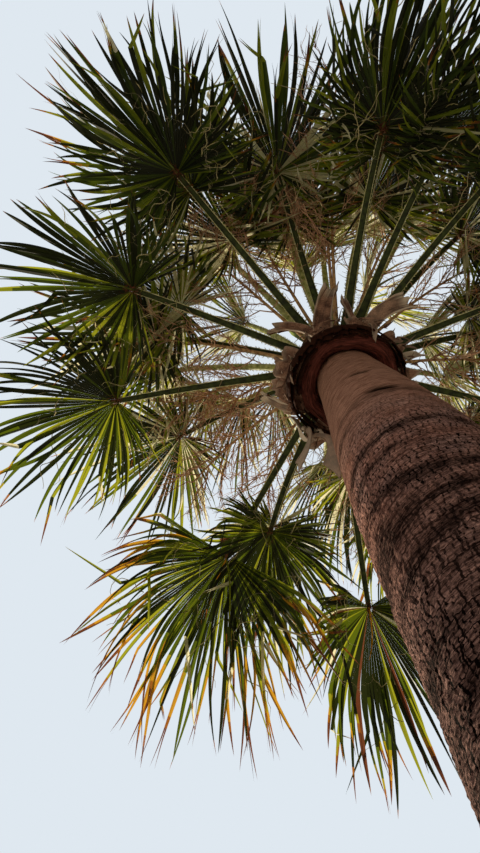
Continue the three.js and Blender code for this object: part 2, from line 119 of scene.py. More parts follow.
world = bpy.data.worlds.new("backdrop")
world.use_nodes = True
world.node_tree.nodes.clear()
seen = add_node(world, "Background", {"Color": linear(BACKDROP), "Strength": 1.0})
lighting = add_node(world, "Background", {"Color": linear(BACKDROP), "Strength": BACKDROP_LIGHT})
from_camera = add_node(world, "LightPath", output="Is Camera Ray")
backdrop = add_node(world, "MixShader", {0: from_camera, 1: lighting, 2: seen})
add_node(world, "OutputWorld", {"Surface": backdrop})
bpy.context.scene.world = world
bpy.context.scene.view_settings.view_transform = "Standard"

# Painted concrete: matt and pale, with a faint mottle about 30 cm across.
floor_material, place = new_material("painted_floor")
mottle = add_node(floor_material, "TexNoise", {"Vector": place, "Scale": 3.0, "Detail": 6.0})
tones = {0: mottle, 6: linear(FLOOR_TONES[0]), 7: linear(FLOOR_TONES[1])}
paint = add_node(floor_material, "Mix", tones, 2, data_type="RGBA")
paint = add_node(floor_material, "BsdfPrincipled", {"Base Color": paint, "Roughness": 0.9})
add_node(floor_material, "OutputMaterial", {"Surface": paint})
floor_mesh = bpy.data.meshes.new("floor")
floor_corners = np.array([(-1, -1, 0), (1, -1, 0), (1, 1, 0), (-1, 1, 0)]) * FLOOR_HALF_WIDTH
floor_mesh.from_pydata(floor_corners, [], [(0, 1, 2, 3)])
floor_mesh.materials.append(floor_material)
floor = bpy.data.objects.new("floor", floor_mesh)
bpy.context.scene.collection.objects.link(floor)


# Trunk
# A palm's trunk has no growth rings: its bark is the crowded ring scars of fallen leaves, which weather into
# grey-brown bricks with dark cracks between them, and are still smooth just under the crown.
TRUNK_HEIGHT = 6.35
LEAN_X, LEAN_Y, BOW = 0.12, -0.52, 0.13
TIP_RADIUS, SWELLING_RADIUS, SHAFT_RADIUS, FOOT_RADIUS = 0.23, 0.362, 0.33, 0.43
SWELLING_DEPTH, SHAFT_DEPTH, FLARE_HEIGHT = 2.3, 3.7, 0.52
TRUNK_SIDES = 384
TRUNK_PIECES = {  # the lowest and highest point of each length of trunk, and its rows of points
    "trunk_foot": (0, 1.7, 150), "trunk_lower": (1.7, 2.87, 240), "trunk_middle": (2.87, 4.03, 240),
    "trunk_upper": (4.03, 5.19, 240), "trunk_top": (5.19, 6.35, 240),
}
RING_SPACING, GROOVE_WIDTH, GROOVE_DEPTH = 0.034, 0.16, 0.003  # of leaf scars: the width is in spacings
BRICKS_ROUND, PLATES_ROUND = 84, 28  # bricks of bark and larger plates round the trunk
BRICK_WIDTH = 0.38  # in the bark's pattern, where one leaf scar is 1 high
# Dark bands, where the bark is sunk under a ledge: spacing, width in spacings where the bark is young and how
# much more where it is old, depth, where a noise breaks them, and their darkness, which is painted shadow
# under
# the ledge: its gain, its limit and its part under the crown
BAND_SPACING, BAND_WIDTH, BAND_WIDENING, BAND_DEPTH, BAND_GAPS = 0.2, 0.2, 0.1, 0.005, (-0.7, 0.4)
BAND_GAIN, BAND_LIMIT, BAND_YOUNG, BAND_FADE = 1.1, 0.85, 0.12, (0.9, 1.7)
SMOOTH_DEPTH = (1.1, 2.1)  # how far under the tip the bark begins to crack, and is fully cracked
OLD_DEPTH = (1.5, 3.4)  # how far under the tip the bark begins to darken and part into plates, and is oldest
BARK_NOISES = {  # strength, cells to a metre of height, cells round the trunk, and seed
    "waver": (2.2, 1.8, 5, 1), "fine_waver": (0.5, 9, 17, 2), "groove": (0.5, 14, 19, 3),
    "band_waver": (0.6, 2.5, 4, 6), "fine_band_waver": (0.12, 30, 50, 10), "band_gaps": (1, 5, 3, 7),
    "swells": (0.0035, 7, 15, 8), "lumps": (0.0022, 40, 97, 9), "crumbs": (1, 90, 191, 11),
}
CRUMB_HEIGHT = (0.0016, 0.0018)  # in young bark, and how much more in old bark
BARK_SHARES = ("rings", "crack", "band", "cracked", "old", "turn_x", "turn_y")
# Slits in the smooth bark: azimuth, depth under the tip, length and width
SLITS = ((249, 0.78, 0.13, 0.05), (254, 1.26, 0.2, 0.075), (70, 0.5, 0.14, 0.03), (140, 0.95, 0.12, 0.03))
SLIT_DEPTH = 0.012
BARK_TONES = {  # the dark and the light of its streaks
    "smooth": ("#7c5443", "#d8a68e"), "warm": ("#724438", "#f2b49e"), "grey": ("#62443e", "#e2bab0"),
    "old": ("#2c1a18", "#c49a8e"),
}
# The second of these, the dark bands' colour, is painted shadow under the bark's ledges.
BRICK_SHADE, BAND_PAINTED_SHADOW, CRACK_SHADE = "#3b2621", "#0e0706", "#0c0604"
STREAK_SCALE, STREAKS = (14, 14, 150), (1.0, 5.0, 0.65, (0.35, 0.65))  # cells to a metre along each axis
BARK_PATTERNS = {  # cells to a metre, detail and roughness of each noise in the bark's colours
    "patches": (3.2, 4.0, 0.6), "specks": (90.0, 4.0, 0.7), "flecks": (34.0, 2.0, 0.5),
    "wander": (13.0, 3.0, 0.6),
}
BARK_READINGS = {  # the pattern that is read, the two values between which it is read, and what they become
    "greyness": ("patches", 0.42, 0.66, 0, 1), "patchy": ("patches", 0.4, 0.54, 0.5, 1),
    "dashed": ("from_middle", 0.36, 0.46, 1, 0.3), "gaps": ("flecks", 0.42, 0.5, 0.15, 1),
    # The second reading on the next line lets the streaks break up the painted shadow in the dark bands.
    "crumbs": ("specks", 0.36, 0.62, 0.5, 1.35), "band_shadow": ("streaks", 0.46, 0.66, 1, 0.6),
    "roughness": ("streaks", 0, 1, 0.98, 0.8),
}


def mix(low, high, share):
    """The value at a share of the way from low to high."""
    return low + (high - low) * share


def eased(value, low, high):
    """0 below low, 1 above high, and a smooth step between."""
    share = np.clip((value - low) / (high - low), 0, 1)
    return share * share * (3 - 2 * share)


def trunk_centre(height):
    """The middle of the trunk: a straight lean, with a half sine wave of bow along X."""
    share = np.asarray(height, float) / TRUNK_HEIGHT
    return np.stack([LEAN_X * share + BOW * np.sin(np.pi * share), LEAN_Y * share, share * TRUNK_HEIGHT], -1)


def trunk_radius(height):
    """The trunk's radius: a quarter sine of swelling under the tip, a smooth step down to the shaft, and a
    squared flare at the foot."""
    depth = TRUNK_HEIGHT - height
    swelling = np.sin(np.minimum(1, depth / SWELLING_DEPTH) * np.pi / 2) ** 1.2
    slimming = eased(depth, SWELLING_DEPTH, SHAFT_DEPTH)
    flare = np.maximum(0, 1 - height / FLARE_HEIGHT) ** 2
    return (
        mix(TIP_RADIUS, SWELLING_RADIUS, swelling)
        - (SWELLING_RADIUS - SHAFT_RADIUS) * slimming
        + (FOOT_RADIUS - SHAFT_RADIUS) * flare
    )


def ragged(across, along, cells, seed):
    """Smooth noise from -1 to 1: random values on a lattice, with smooth steps between. across runs from 0
    to 1 over so many cells and joins up with itself, and along is counted in cells."""
    values = np.random.default_rng(seed).uniform(-1, 1, (1024, cells))
    across, along = np.broadcast_arrays(np.asarray(across, float) * cells, np.asarray(along, float))
    column, row = np.floor(across).astype(int), np.floor(along).astype(int)
    right_share, up_share = eased(across - column, 0, 1), eased(along - row, 0, 1)
    here, after = column % cells, (column + 1) % cells
    low, high = row % 1024, (row + 1) % 1024
    return mix(
        mix(values[low, here], values[low, after], right_share),
        mix(values[high, here], values[high, after], right_share),
        up_share,
    )


def noises(table, around, along):
    """The ragged noises of a table, by name: each has its strength, its rows of cells to a metre along, its
    cells round and its seed."""
    return {
        name: strength * ragged(around, along * rows, cells, seed)
        for name, (strength, rows, cells, seed) in table.items()
    }


def nearness(value, width):
    """How near a value is to a whole number: 1 on it, falling away as a bell of that width."""
    return np.exp(-(((value - np.round(value)) / width) ** 2))


def bark(around, height):
    """How far the bark stands out from the trunk's plain surface, then BARK_SHARES for its colours: the leaf
    scar's number, how deep a slit or groove lies there, how much of a dark band, how cracked and how old the
    bark is, and the way out from the axis. Grooves and bands run along whole numbers of a wavering count, and
    a slit is a bell that is flat along its length and bends down at its ends."""
    depth = TRUNK_HEIGHT - height
    cracked, old = eased(depth, *SMOOTH_DEPTH), eased(depth, *OLD_DEPTH)
    noise = noises(BARK_NOISES, around, height)
    waver = noise["waver"] + noise["fine_waver"]
    rings = height / RING_SPACING + waver
    groove = nearness(rings, GROOVE_WIDTH) * (0.5 + noise["groove"])
    band_count = height / BAND_SPACING + noise["band_waver"] + noise["fine_band_waver"]
    band = nearness(band_count, BAND_WIDTH + BAND_WIDENING * old) * eased(noise["band_gaps"], *BAND_GAPS)
    band = np.minimum(BAND_LIMIT, BAND_GAIN * band)
    band = band * (BAND_YOUNG + (1 - BAND_YOUNG) * eased(depth, *BAND_FADE))
    slit = np.zeros_like(groove)
    for azimuth, below, length, width in SLITS:
        turn = (around - azimuth / 360 + 0.5) % 1 - 0.5
        sideways = turn * 2 * np.pi * trunk_radius(height) / (length / 2)
        opening = width / 2 * (1.1 - 0.5 * sideways**2).clip(0.1)
        down = (depth - below - 0.02 * np.sin(2 * sideways)) / opening
        slit = np.maximum(slit, np.exp(-(sideways**4) - down**2))
    lumps = noise["swells"] + noise["lumps"]
    lumps = lumps + (CRUMB_HEIGHT[0] + CRUMB_HEIGHT[1] * old) * noise["crumbs"]
    crack = np.maximum(cracked * 0.5 * groove, slit)
    relief = lumps * (0.3 + 0.7 * cracked) - GROOVE_DEPTH * groove * cracked
    relief = relief - SLIT_DEPTH * slit - BAND_DEPTH * band
    turn = 2 * np.pi * around
    return relief, rings, crack, band, cracked, old, np.cos(turn), np.sin(turn)


def grid_faces(rows, columns, closed):
    """A grid's four-cornered faces, row by row. A closed grid's last column meets its first."""
    row = np.arange(rows - 1)[:, None] * columns
    column = np.arange(columns if closed else columns - 1)[None, :]
    after = (column + 1) % columns
    corners = np.stack([row + column, row + after, row + columns + after, row + columns + column], -1)
    return corners.reshape(-1, 4)


def capped_faces(rows, columns, foot, top):
    """The faces of a closed grid, with a fan of triangles across its first row, its last row or both, to
    middle points that follow the grid's own."""
    first, middle = np.arange(columns), np.full(columns, rows * columns)
    last = first + (rows - 1) * columns
    faces = [grid_faces(rows, columns, closed=True)]
    if foot:
        faces.append(np.stack([np.roll(first, -1), first, middle], -1))
    if top:
        faces.append(np.stack([last, np.roll(last, -1), middle + foot], -1))
    return faces


def make_piece(name, points, faces, material, slot, replaced=(), **attributes):
    """A piece of the tree from an array of points and one of faces, or a list of such arrays, with a number
    for each point under each attribute's name. It stands for the nodes in replaced."""
    groups = faces if isinstance(faces, list) else [faces]
    corners = np.concatenate([group.ravel() for group in groups])
    counts = np.concatenate([np.full(len(group), group.shape[1]) for group in groups])
    mesh = bpy.data.meshes.new(name)
    mesh.vertices.add(len(points))
    mesh.vertices.foreach_set("co", np.asarray(points, np.float32).ravel())
    mesh.loops.add(len(corners))
    mesh.loops.foreach_set("vertex_index", corners.astype(np.int32))
    mesh.polygons.add(len(counts))
    mesh.polygons.foreach_set("loop_start", (np.cumsum(counts) - counts).astype(np.int32))
    mesh.polygons.foreach_set("use_smooth", np.ones(len(counts), bool))
    mesh.update(calc_edges=True)
    for attribute, values in attributes.items():
        layer = mesh.attributes.new(attribute, "FLOAT", "POINT")
        layer.data.foreach_set("value", values.astype(np.float32).ravel())
    mesh.materials.append(material)
    piece = bpy.data.objects.new(name, mesh)
    bpy.context.scene.collection.objects.link(piece)
    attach(piece, "root")
    if replaced:
        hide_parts(*replaced)
    return piece


def grained(material, vector, scale, detail, roughness, limits, *tones):
    """A noise with scale cells to a unit, and for each pair of a dark and a light tone the colour that runs
    from one to the other between the limits of the noise."""
    sockets = {"Vector": vector, "Scale": scale, "Detail": detail, "Roughness": roughness}
    grain = add_node(material, "TexNoise", sockets)
    share = add_node(material, "MapRange", {0: grain, 1: limits[0], 2: limits[1]})
    colours = []
    for dark, light in tones:
        sockets = {0: share, 6: linear(dark), 7: linear(light)}
        colours.append(add_node(material, "Mix", sockets, 2, data_type="RGBA"))
    return grain, colours


def finished(material, colour, roughness, specular, height, strength, depth, glow=None):
    """The material with its shader: colour, roughness and specular level, over bumps that follow a height
    pattern to a depth in metres. A glow is the colour of light that shines through, and its share."""
    bump = add_node(material, "Bump", {"Height": height, "Strength": strength, "Distance": depth})
    sockets = {"Base Color": colour, "Roughness": roughness, "Normal": bump, "Specular IOR Level": specular}
    shader = add_node(material, "BsdfPrincipled", sockets)
    if glow:
        through = add_node(material, "BsdfTranslucent", {"Color": linear(glow[0])})
        shader = add_node(material, "MixShader", {0: glow[1], 1: shader, 2: through})
    add_node(material, "OutputMaterial", {"Surface": shader})
    return material


def weathered_bark():
    """Palm bark: matt corky wood, warm brown where it is fresh and grey where it is old, nearly black in its
    cracks, and dark in broken bands whose darkness is painted shadow under ledges. Fine streaks run round the
    trunk, about 5 mm apart. Cracks 2 to 4 mm wide run along it as dashes within each leaf scar and part it
    into bricks about 25 mm long, each in its own tone, and lower down into plates three times that size.
    Crumbs about
    1 cm across mottle the cracked part."""
    material, place = new_material("weathered_bark")
    share = {name: add_node(material, "Attribute", output="Fac", attribute_name=name) for name in BARK_SHARES}
    flattened = add_node(material, "Mapping", {"Vector": place, "Scale": STREAK_SCALE})
    streaks, tones = grained(material, flattened, *STREAKS, *BARK_TONES.values())
    tone = dict(zip(BARK_TONES, tones, strict=True))
    pattern = {"streaks": streaks}
    for name, (scale, detail, roughness) in BARK_PATTERNS.items():
        sockets = {"Vector": place, "Scale": scale, "Detail": detail, "Roughness": roughness}
        pattern[name] = add_node(material, "TexNoise", sockets, "Color" if name == "wander" else 0)

    angle = add_node(material, "Math", {0: share["turn_y"], 1: share["turn_x"]}, operation="ARCTAN2")
    scaled = {0: angle, 1: BRICKS_ROUND * BRICK_WIDTH / (2 * np.pi)}
    along = add_node(material, "Math", scaled, operation="MULTIPLY")
    counted = add_node(material, "CombineXYZ", {"X": along, "Y": share["rings"]})
    wandering = {0: pattern["wander"], 1: (0.8, 1.2, 0), 2: counted}  # so that no crack runs straight
    counted = add_node(material, "VectorMath", wandering, operation="MULTIPLY_ADD")
    count = add_node(material, "SeparateXYZ", {0: counted}).node.outputs
    row = add_node(material, "Math", {0: count["Y"]}, operation="FLOOR")
    start = add_node(material, "TexWhiteNoise", {"W": row}, "Value", noise_dimensions="1D")
    shifted = add_node(material, "Math", {0: start, 1: 9.0, 2: count["X"]}, operation="MULTIPLY_ADD")
    rowed = add_node(material, "CombineXYZ", {"X": shifted, "Y": count["Y"]})
    from_middle = count["Y"]
    for operation in ("FRACT", "SUBTRACT", "ABSOLUTE"):
        from_middle = add_node(material, "Math", {0: from_middle, 1: 0.5}, operation=operation)
    pattern["from_middle"] = from_middle
    reading = {
        name: add_node(material, "MapRange", dict(enumerate((pattern[source], *limits))))
        for name, (source, *limits) in BARK_READINGS.items()
    }

    walls = {}
    plate_width = BRICKS_ROUND / PLATES_ROUND * BRICK_WIDTH
    for name, vector, crack_width, length, height, offset in (
        ("bricks", rowed, 0.06, BRICK_WIDTH, 1.0, 0.0), ("plates", counted, 0.075, plate_width, 3.0, 0.37),
    ):
        sockets = {
            "Vector": vector, "Color1": (1, 1, 1, 1), "Color2": (0, 0, 0, 1), "Mortar": (0.5, 0.5, 0.5, 1),
            "Scale": 1.0, "Mortar Size": crack_width, "Mortar Smooth": 0.3, "Brick Width": length,
            "Row Height": height,
        }
        walls[name] = add_node(material, "TexBrick", sockets, offset=offset).node.outputs
    products = {  # what is multiplied, one by one
        "fine": (
            reading["patchy"], reading["dashed"], reading["gaps"], share["cracked"], walls["bricks"]["Fac"]
        ),
        "coarse": (walls["plates"]["Fac"], share["old"]),
        "tone": (walls["bricks"]["Color"], share["cracked"], 0.3),
        # the dark bands' painted shadow, broken up by the streaks
        "band_shadow": (reading["band_shadow"], share["band"]),
    }
    product = {}
    for name, (first, *others) in products.items():
        product[name] = first
        for other in others:
            factors = {0: product[name], 1: other}
            product[name] = add_node(material, "Math", factors, operation="MULTIPLY")
    drawn = {0: product["fine"], 1: product["coarse"]}
    drawn = add_node(material, "Math", drawn, operation="MAXIMUM")
    crack = add_node(material, "Math", {0: drawn, 1: share["crack"]}, operation="MAXIMUM")

    weathered = {0: reading["greyness"], 6: tone["warm"], 7: tone["grey"]}
    weathered = add_node(material, "Mix", weathered, 2, data_type="RGBA")
    colour = tone["smooth"]
    for over, layer, blend in (
        (share["cracked"], weathered, "MIX"),
        (share["old"], tone["old"], "MIX"),
        (share["cracked"], reading["crumbs"], "MULTIPLY"),
        (product["tone"], linear(BRICK_SHADE), "MIX"),
        # painted shadow in the dark bands, under the bark's ledges
        (product["band_shadow"], linear(BAND_PAINTED_SHADOW), "MIX"),
        (crack, linear(CRACK_SHADE), "MIX"),
    ):
        layers = {0: over, 6: colour, 7: layer}
        colour = add_node(material, "Mix", layers, 2, data_type="RGBA", blend_type=blend)
    height = streaks
    for raised, amount in ((pattern["specks"], 2.0), (drawn, -2.5)):  # specks stand out, cracks are sunk
        added = {0: raised, 1: amount, 2: height}
        height = add_node(material, "Math", added, operation="MULTIPLY_ADD")
    return finished(material, colour, reading["roughness"], 0.02, height, 1.0, 0.008)


bark_finish = weathered_bark()
around = np.arange(TRUNK_SIDES)[None, :] / TRUNK_SIDES
angle = 2 * np.pi * around
outwards = np.stack([np.cos(angle), np.sin(angle), 0 * angle], -1)
for piece_name, (low, high, rows) in TRUNK_PIECES.items():
    height = np.linspace(low, high, rows)[:, None]
    relief, *shares = bark(around, height)
    radius = trunk_radius(height) + relief
    points = (trunk_centre(height) + radius[..., None] * outwards).reshape(-1, 3)
    foot, top = low == 0, high == TRUNK_HEIGHT
    points = np.vstack([points] + [trunk_centre(low)] * foot + [trunk_centre(high)] * top)
    spare = np.zeros(foot + top)
    attributes = {
        name: np.append(values + 0 * relief, spare) for name, values in zip(BARK_SHARES, shares, strict=True)
    }
    faces = capped_faces(rows, TRUNK_SIDES, foot, top)
    make_piece(piece_name, points, faces, bark_finish, "bark", ["trunk"], **attributes)


# Collar of fibre
# The sheaths of the leaves wrap the tip, and rot into a springy red-brown mat of crossing fibres. Its torn
# lower lips hang a little down round the trunk, one inside the other, and are nearly black as painted shade
# under the collar.
TIP = trunk_centre(TRUNK_HEIGHT)
CROWN_AXIS = TIP - trunk_centre(TRUNK_HEIGHT - 0.001)
CROWN_AXIS = CROWN_AXIS / CROWN_AXIS[2]
UP = np.array([0, 0, 1.0])
COLLAR_PROFILE = np.array([
    (0.298, -0.096), (0.346, -0.05), (0.372, 0.05), (0.358, 0.19), (0.338, 0.36), (0.305, 0.54),
    (0.238, 0.69), (0.13, 0.76),
])  # radius, and height above the tip
COLLAR_TOP = 0.785
COLLAR_INNER = ((0.236, 0.04), (0.244, -0.03), (0.262, -0.066), (0.282, -0.086))  # from the trunk to the lip
LAYERS = 0.017  # the sheaths' torn edges lie so far apart under the collar
COLLAR_WAVE, COLLAR_WAVES = 0.009, 5
COLLAR_COLUMNS, COLLAR_ROWS = 320, 150
# The torn lips: radius, drop and how deep they are torn
LIPS = ((0.268, 0.05, 0.03), (0.3, 0.06, 0.05), (0.335, 0.07, 0.07), (0.366, 0.09, 0.09), (0.392, 0.1, 0.11))
COLLAR_NOISES = {  # strength, cells to a metre of the profile, cells round the collar, and seed
    "swells": (0.008, 18, 16, 20), "knots": (0.005, 120, 40, 21), "sag": (1, 60, 22, 22),
    "sheaths": (0.8, 9, 12, 24),
}
COLLAR_SAG, SHEATH_EDGE = 0.01, 0.007
LIP_ROWS = 9
LIP_SIDE, LIP_SIDE_WIDTH, LIP_FULLNESS = 175, 50, 0.05  # round this azimuth the lips stand out further
LIP_NOISES = ((48, 30), (9, 40), (120, 50), (18, 60))  # cells round the collar, and seed
LOOSE_FIBRES, FIBRE_RADIUS, FIBRE_LENGTH = 1300, 0.0016, (0.03, 0.15)
FIBRE_RING, FIBRE_DRIFT = (0.25, 0.37), (9, 5)  # metres from the crown's axis, and degrees sideways
WEATHERED_TONES = ("#2e2016", "#86684c")
WEATHERED_FROM, WEATHERED_SHARE = (0.28, 0.5), 0.9  # metres from the collar's inner edge


def outward(azimuth):
    """The level direction at an azimuth, in degrees from +X towards +Y."""
    azimuth = np.radians(azimuth)
    return np.stack([np.cos(azimuth), np.sin(azimuth), 0 * azimuth], -1)


def crown_point(azimuth, radius, height):
    """A place round the tip: height along the crown's axis, and radius level with the ground."""
    radius, height = np.asarray(radius, float), np.asarray(height, float)
    return TIP + CROWN_AXIS * height[..., None] + outward(azimuth) * radius[..., None]


def collar_radius(azimuth, height):
    """The collar's radius at a height above the tip: its profile, with a low wave round the crown."""
    plain = np.interp(height, COLLAR_PROFILE[:, 1], COLLAR_PROFILE[:, 0])
    return plain + COLLAR_WAVE * np.sin(COLLAR_WAVES * np.radians(azimuth))


def fibre_mat(name, dark, light, stretch, layered=False):
    """Leaf-sheath fibre: coarse dull brown hairs 1 to 2 mm thick, matted in layers, rough and without gloss.
    Where it is layered, its streaks follow the piece's own layer attribute, the metres from the collar's
    inner edge, in place of Z, and it is weathered to a dull tan outside the lip. A stretch is the pattern's
    cells to a metre along each axis."""
    material, place = new_material(name)
    if layered:
        flat = add_node(material, "SeparateXYZ", {0: place}).node.outputs
        layer = add_node(material, "Attribute", output="Fac", attribute_name="layer")
        place = add_node(material, "CombineXYZ", {"X": flat["X"], "Y": flat["Y"], "Z": layer})
    flattened = add_node(material, "Mapping", {"Vector": place, "Scale": stretch})
    tones = [(dark, light)] + [WEATHERED_TONES] * layered
    hairs, (colour, *weathered) = grained(material, flattened, 1.0, 6.0, 0.7, (0.34, 0.68), *tones)
    if layered:
        outside = {0: layer, 1: WEATHERED_FROM[0], 2: WEATHERED_FROM[1], 3: 0.0, 4: WEATHERED_SHARE}
        layers = {0: add_node(material, "MapRange", outside), 6: colour, 7: weathered[0]}
        colour = add_node(material, "Mix", layers, 2, data_type="RGBA")
    return finished(material, colour, 0.95, 0.15, hairs, 0.8, 0.004)


def with_ends(rings, first, last):
    """Rings of points, with a ring at each end that is all one point, to close them."""
    ends = [np.repeat(end[..., None, None, :], rings.shape[-2], axis=-2) for end in (first, last)]
    return np.concatenate([ends[0], rings, ends[1]], axis=-3)


def rods(paths, radii, sides):
    """Closed tapering rods, all at once: paths has a row of points for each rod, radii the radius at each
    point. Rings stand square to the path, and a last point closes each end."""
    paths, radii = np.asarray(paths, float), np.asarray(radii, float)
    along = unit(np.gradient(paths, axis=1))
    mean_way = np.abs(paths[:, -1] - paths[:, 0])
    least = np.eye(3)[np.argmin(mean_way, axis=1)][:, None, :]
    across = unit(np.cross(along, least))
    upward = np.cross(across, along)
    angle = 2 * np.pi * np.arange(sides) / sides
    spokes = across[..., None, :] * np.cos(angle)[:, None] + upward[..., None, :] * np.sin(angle)[:, None]
    rings = paths[:, :, None, :] + spokes * radii[:, :, None, None]
    rings = with_ends(rings, paths[:, 0], paths[:, -1])
    count, stations = rings.shape[:2]
    faces = grid_faces(stations, sides, closed=True)
    shifts = np.arange(count)[:, None, None] * stations * sides
    return rings.reshape(-1, 3), (faces[None] + shifts).reshape(-1, 4)


def joined(parts):
    """Points and faces of several parts as one array of each."""
    starts = np.cumsum([0] + [len(points) for points, _ in parts[:-1]])
    return np.vstack([points for points, _ in parts]), np.vstack(
        [faces + start for (_, faces), start in zip(parts, starts, strict=True)]
    )


def thicken(piece, thickness):
    """Makes an open sheet solid, half of its thickness on each side."""
    solid = piece.modifiers.new("thickness", "SOLIDIFY")
    solid.thickness = thickness
    solid.offset = 0


mat_finish = fibre_mat("matted_fibre", "#170706", "#7c4036", (9, 9, 150), layered=True)
profile = np.vstack([COLLAR_INNER, COLLAR_PROFILE, [(0.002, COLLAR_TOP)]])
measure = np.append(0, np.cumsum(np.linalg.norm(np.diff(profile, axis=0), axis=1)))
share = np.linspace(0, 1, COLLAR_ROWS)[:, None] ** 1.25 * measure[-1]
around = np.arange(COLLAR_COLUMNS)[None, :] / COLLAR_COLUMNS
radius = np.interp(share, measure, profile[:, 0]) + 0 * around
level_height = np.interp(share, measure, profile[:, 1]) + 0 * around
outer = eased(share, 0.02, 0.08) * eased(measure[-1] - share, 0, 0.2)
noise = noises(COLLAR_NOISES, around, share)
wave = COLLAR_WAVE * np.sin(COLLAR_WAVES * 2 * np.pi * around)
radius = radius + outer * (wave + noise["swells"] + noise["knots"])
steps = np.sin(2 * np.pi * (radius / LAYERS + noise["sheaths"]))
under = eased(radius, 0.24, 0.26) * eased(-level_height, -0.05, 0.03)
level_height = level_height + outer * COLLAR_SAG * noise["sag"] + under * SHEATH_EDGE * steps
points = crown_point(360 * around, radius, level_height).reshape(-1, 3)
points = np.vstack([points, crown_point(0, 0, COLLAR_INNER[0][1]), crown_point(0, 0, COLLAR_TOP)])
make_piece(
    "fibre_collar_mat", points, capped_faces(COLLAR_ROWS, COLLAR_COLUMNS, True, True), mat_finish, "fibre",
    ["fibre_collar"], layer=np.append(share + 0 * around, [0, measure[-1]]),
)

share = np.linspace(0, 1, LIP_ROWS)[:, None]
lip_parts = []
for number, (radius, drop, tear) in enumerate(LIPS):
    coarse, broad, fine = (ragged(around, 0, cells, seed + number) for cells, seed in LIP_NOISES[:3])
    length = drop + tear * (0.4 + (np.abs(coarse) * broad + 0.4 * fine))
    cells, seed = LIP_NOISES[3]
    bulge = 0.012 * np.sin(np.pi * share) + 0.01 * share * ragged(around, share * 2, cells, seed + number)
    fuller = np.exp(-(((360 * around - LIP_SIDE) / LIP_SIDE_WIDTH) ** 2)) * (radius - 0.25) / 0.14
    lip_height = 0.02 - share * length + 0.25 * (radius - 0.26) - 0.03 * fuller
    lip = crown_point(360 * around, radius + bulge + LIP_FULLNESS * fuller, lip_height)
    lip_parts.append((lip.reshape(-1, 3), grid_faces(LIP_ROWS, COLLAR_COLUMNS, closed=True)))
# The lips' near-black is painted shade under the collar, not the fibre's own colour.
shaded_lip_finish = fibre_mat("torn_sheath_in_shade", "#120604", "#43200f", (20, 20, 120))
lips = make_piece("fibre_collar_lips", *joined(lip_parts), shaded_lip_finish, "fibre")
thicken(lips, 0.003)

hair_finish = fibre_mat("loose_fibre", "#3a1a10", "#7a4a30", (60, 60, 60))
draw = np.random.default_rng(70)
azimuth = draw.uniform(0, 360, LOOSE_FIBRES)
start_radius = draw.uniform(*FIBRE_RING, LOOSE_FIBRES)[:, None]
drift = draw.normal(0, 1, (LOOSE_FIBRES, 2))
length = draw.uniform(*FIBRE_LENGTH, LOOSE_FIBRES)[:, None]
steps = np.linspace(0, 1, 6)
hair_azimuth = azimuth[:, None] + drift[:, :1] * FIBRE_DRIFT[0] * steps
hair_azimuth = hair_azimuth + drift[:, 1:] * FIBRE_DRIFT[1] * steps**2
hair_radius = start_radius + 0.03 * draw.normal(0, 1, (LOOSE_FIBRES, 1)) * steps
fall = length * steps * draw.uniform(0.2, 1, (LOOSE_FIBRES, 1))
hairs = crown_point(hair_azimuth, hair_radius, -0.02 - 0.2 * (start_radius - FIBRE_RING[1]) - fall)
hair_radii = np.broadcast_to(FIBRE_RADIUS * (1.1 - steps), hairs.shape[:2])
make_piece("fibre_collar_hairs", *rods(hairs, hair_radii, 3), hair_finish, "fibre")


# Old leaf bases
# When a dead leaf falls or is cut, the foot of its stalk stays on the collar: a tough, grey strap of wood,
# cupped round the crown and split by the leaf that grew inside it, with a red-brown fibrous lining.
BASE_SINK, BASE_THICKNESS, RIM_THICKNESS = 0.03, 0.038, 0.011
RIM_PLACE, RIM_WIDTH = 0.9, 0.08  # in half widths of the base
SPLIT_WIDTH, SPLIT_WIDENING = 0.12, 0.2  # in half widths too: a deeper split is wider
BASE_ROWS, BASE_COLUMNS = 30, 26
SOURCE_BASES = 9
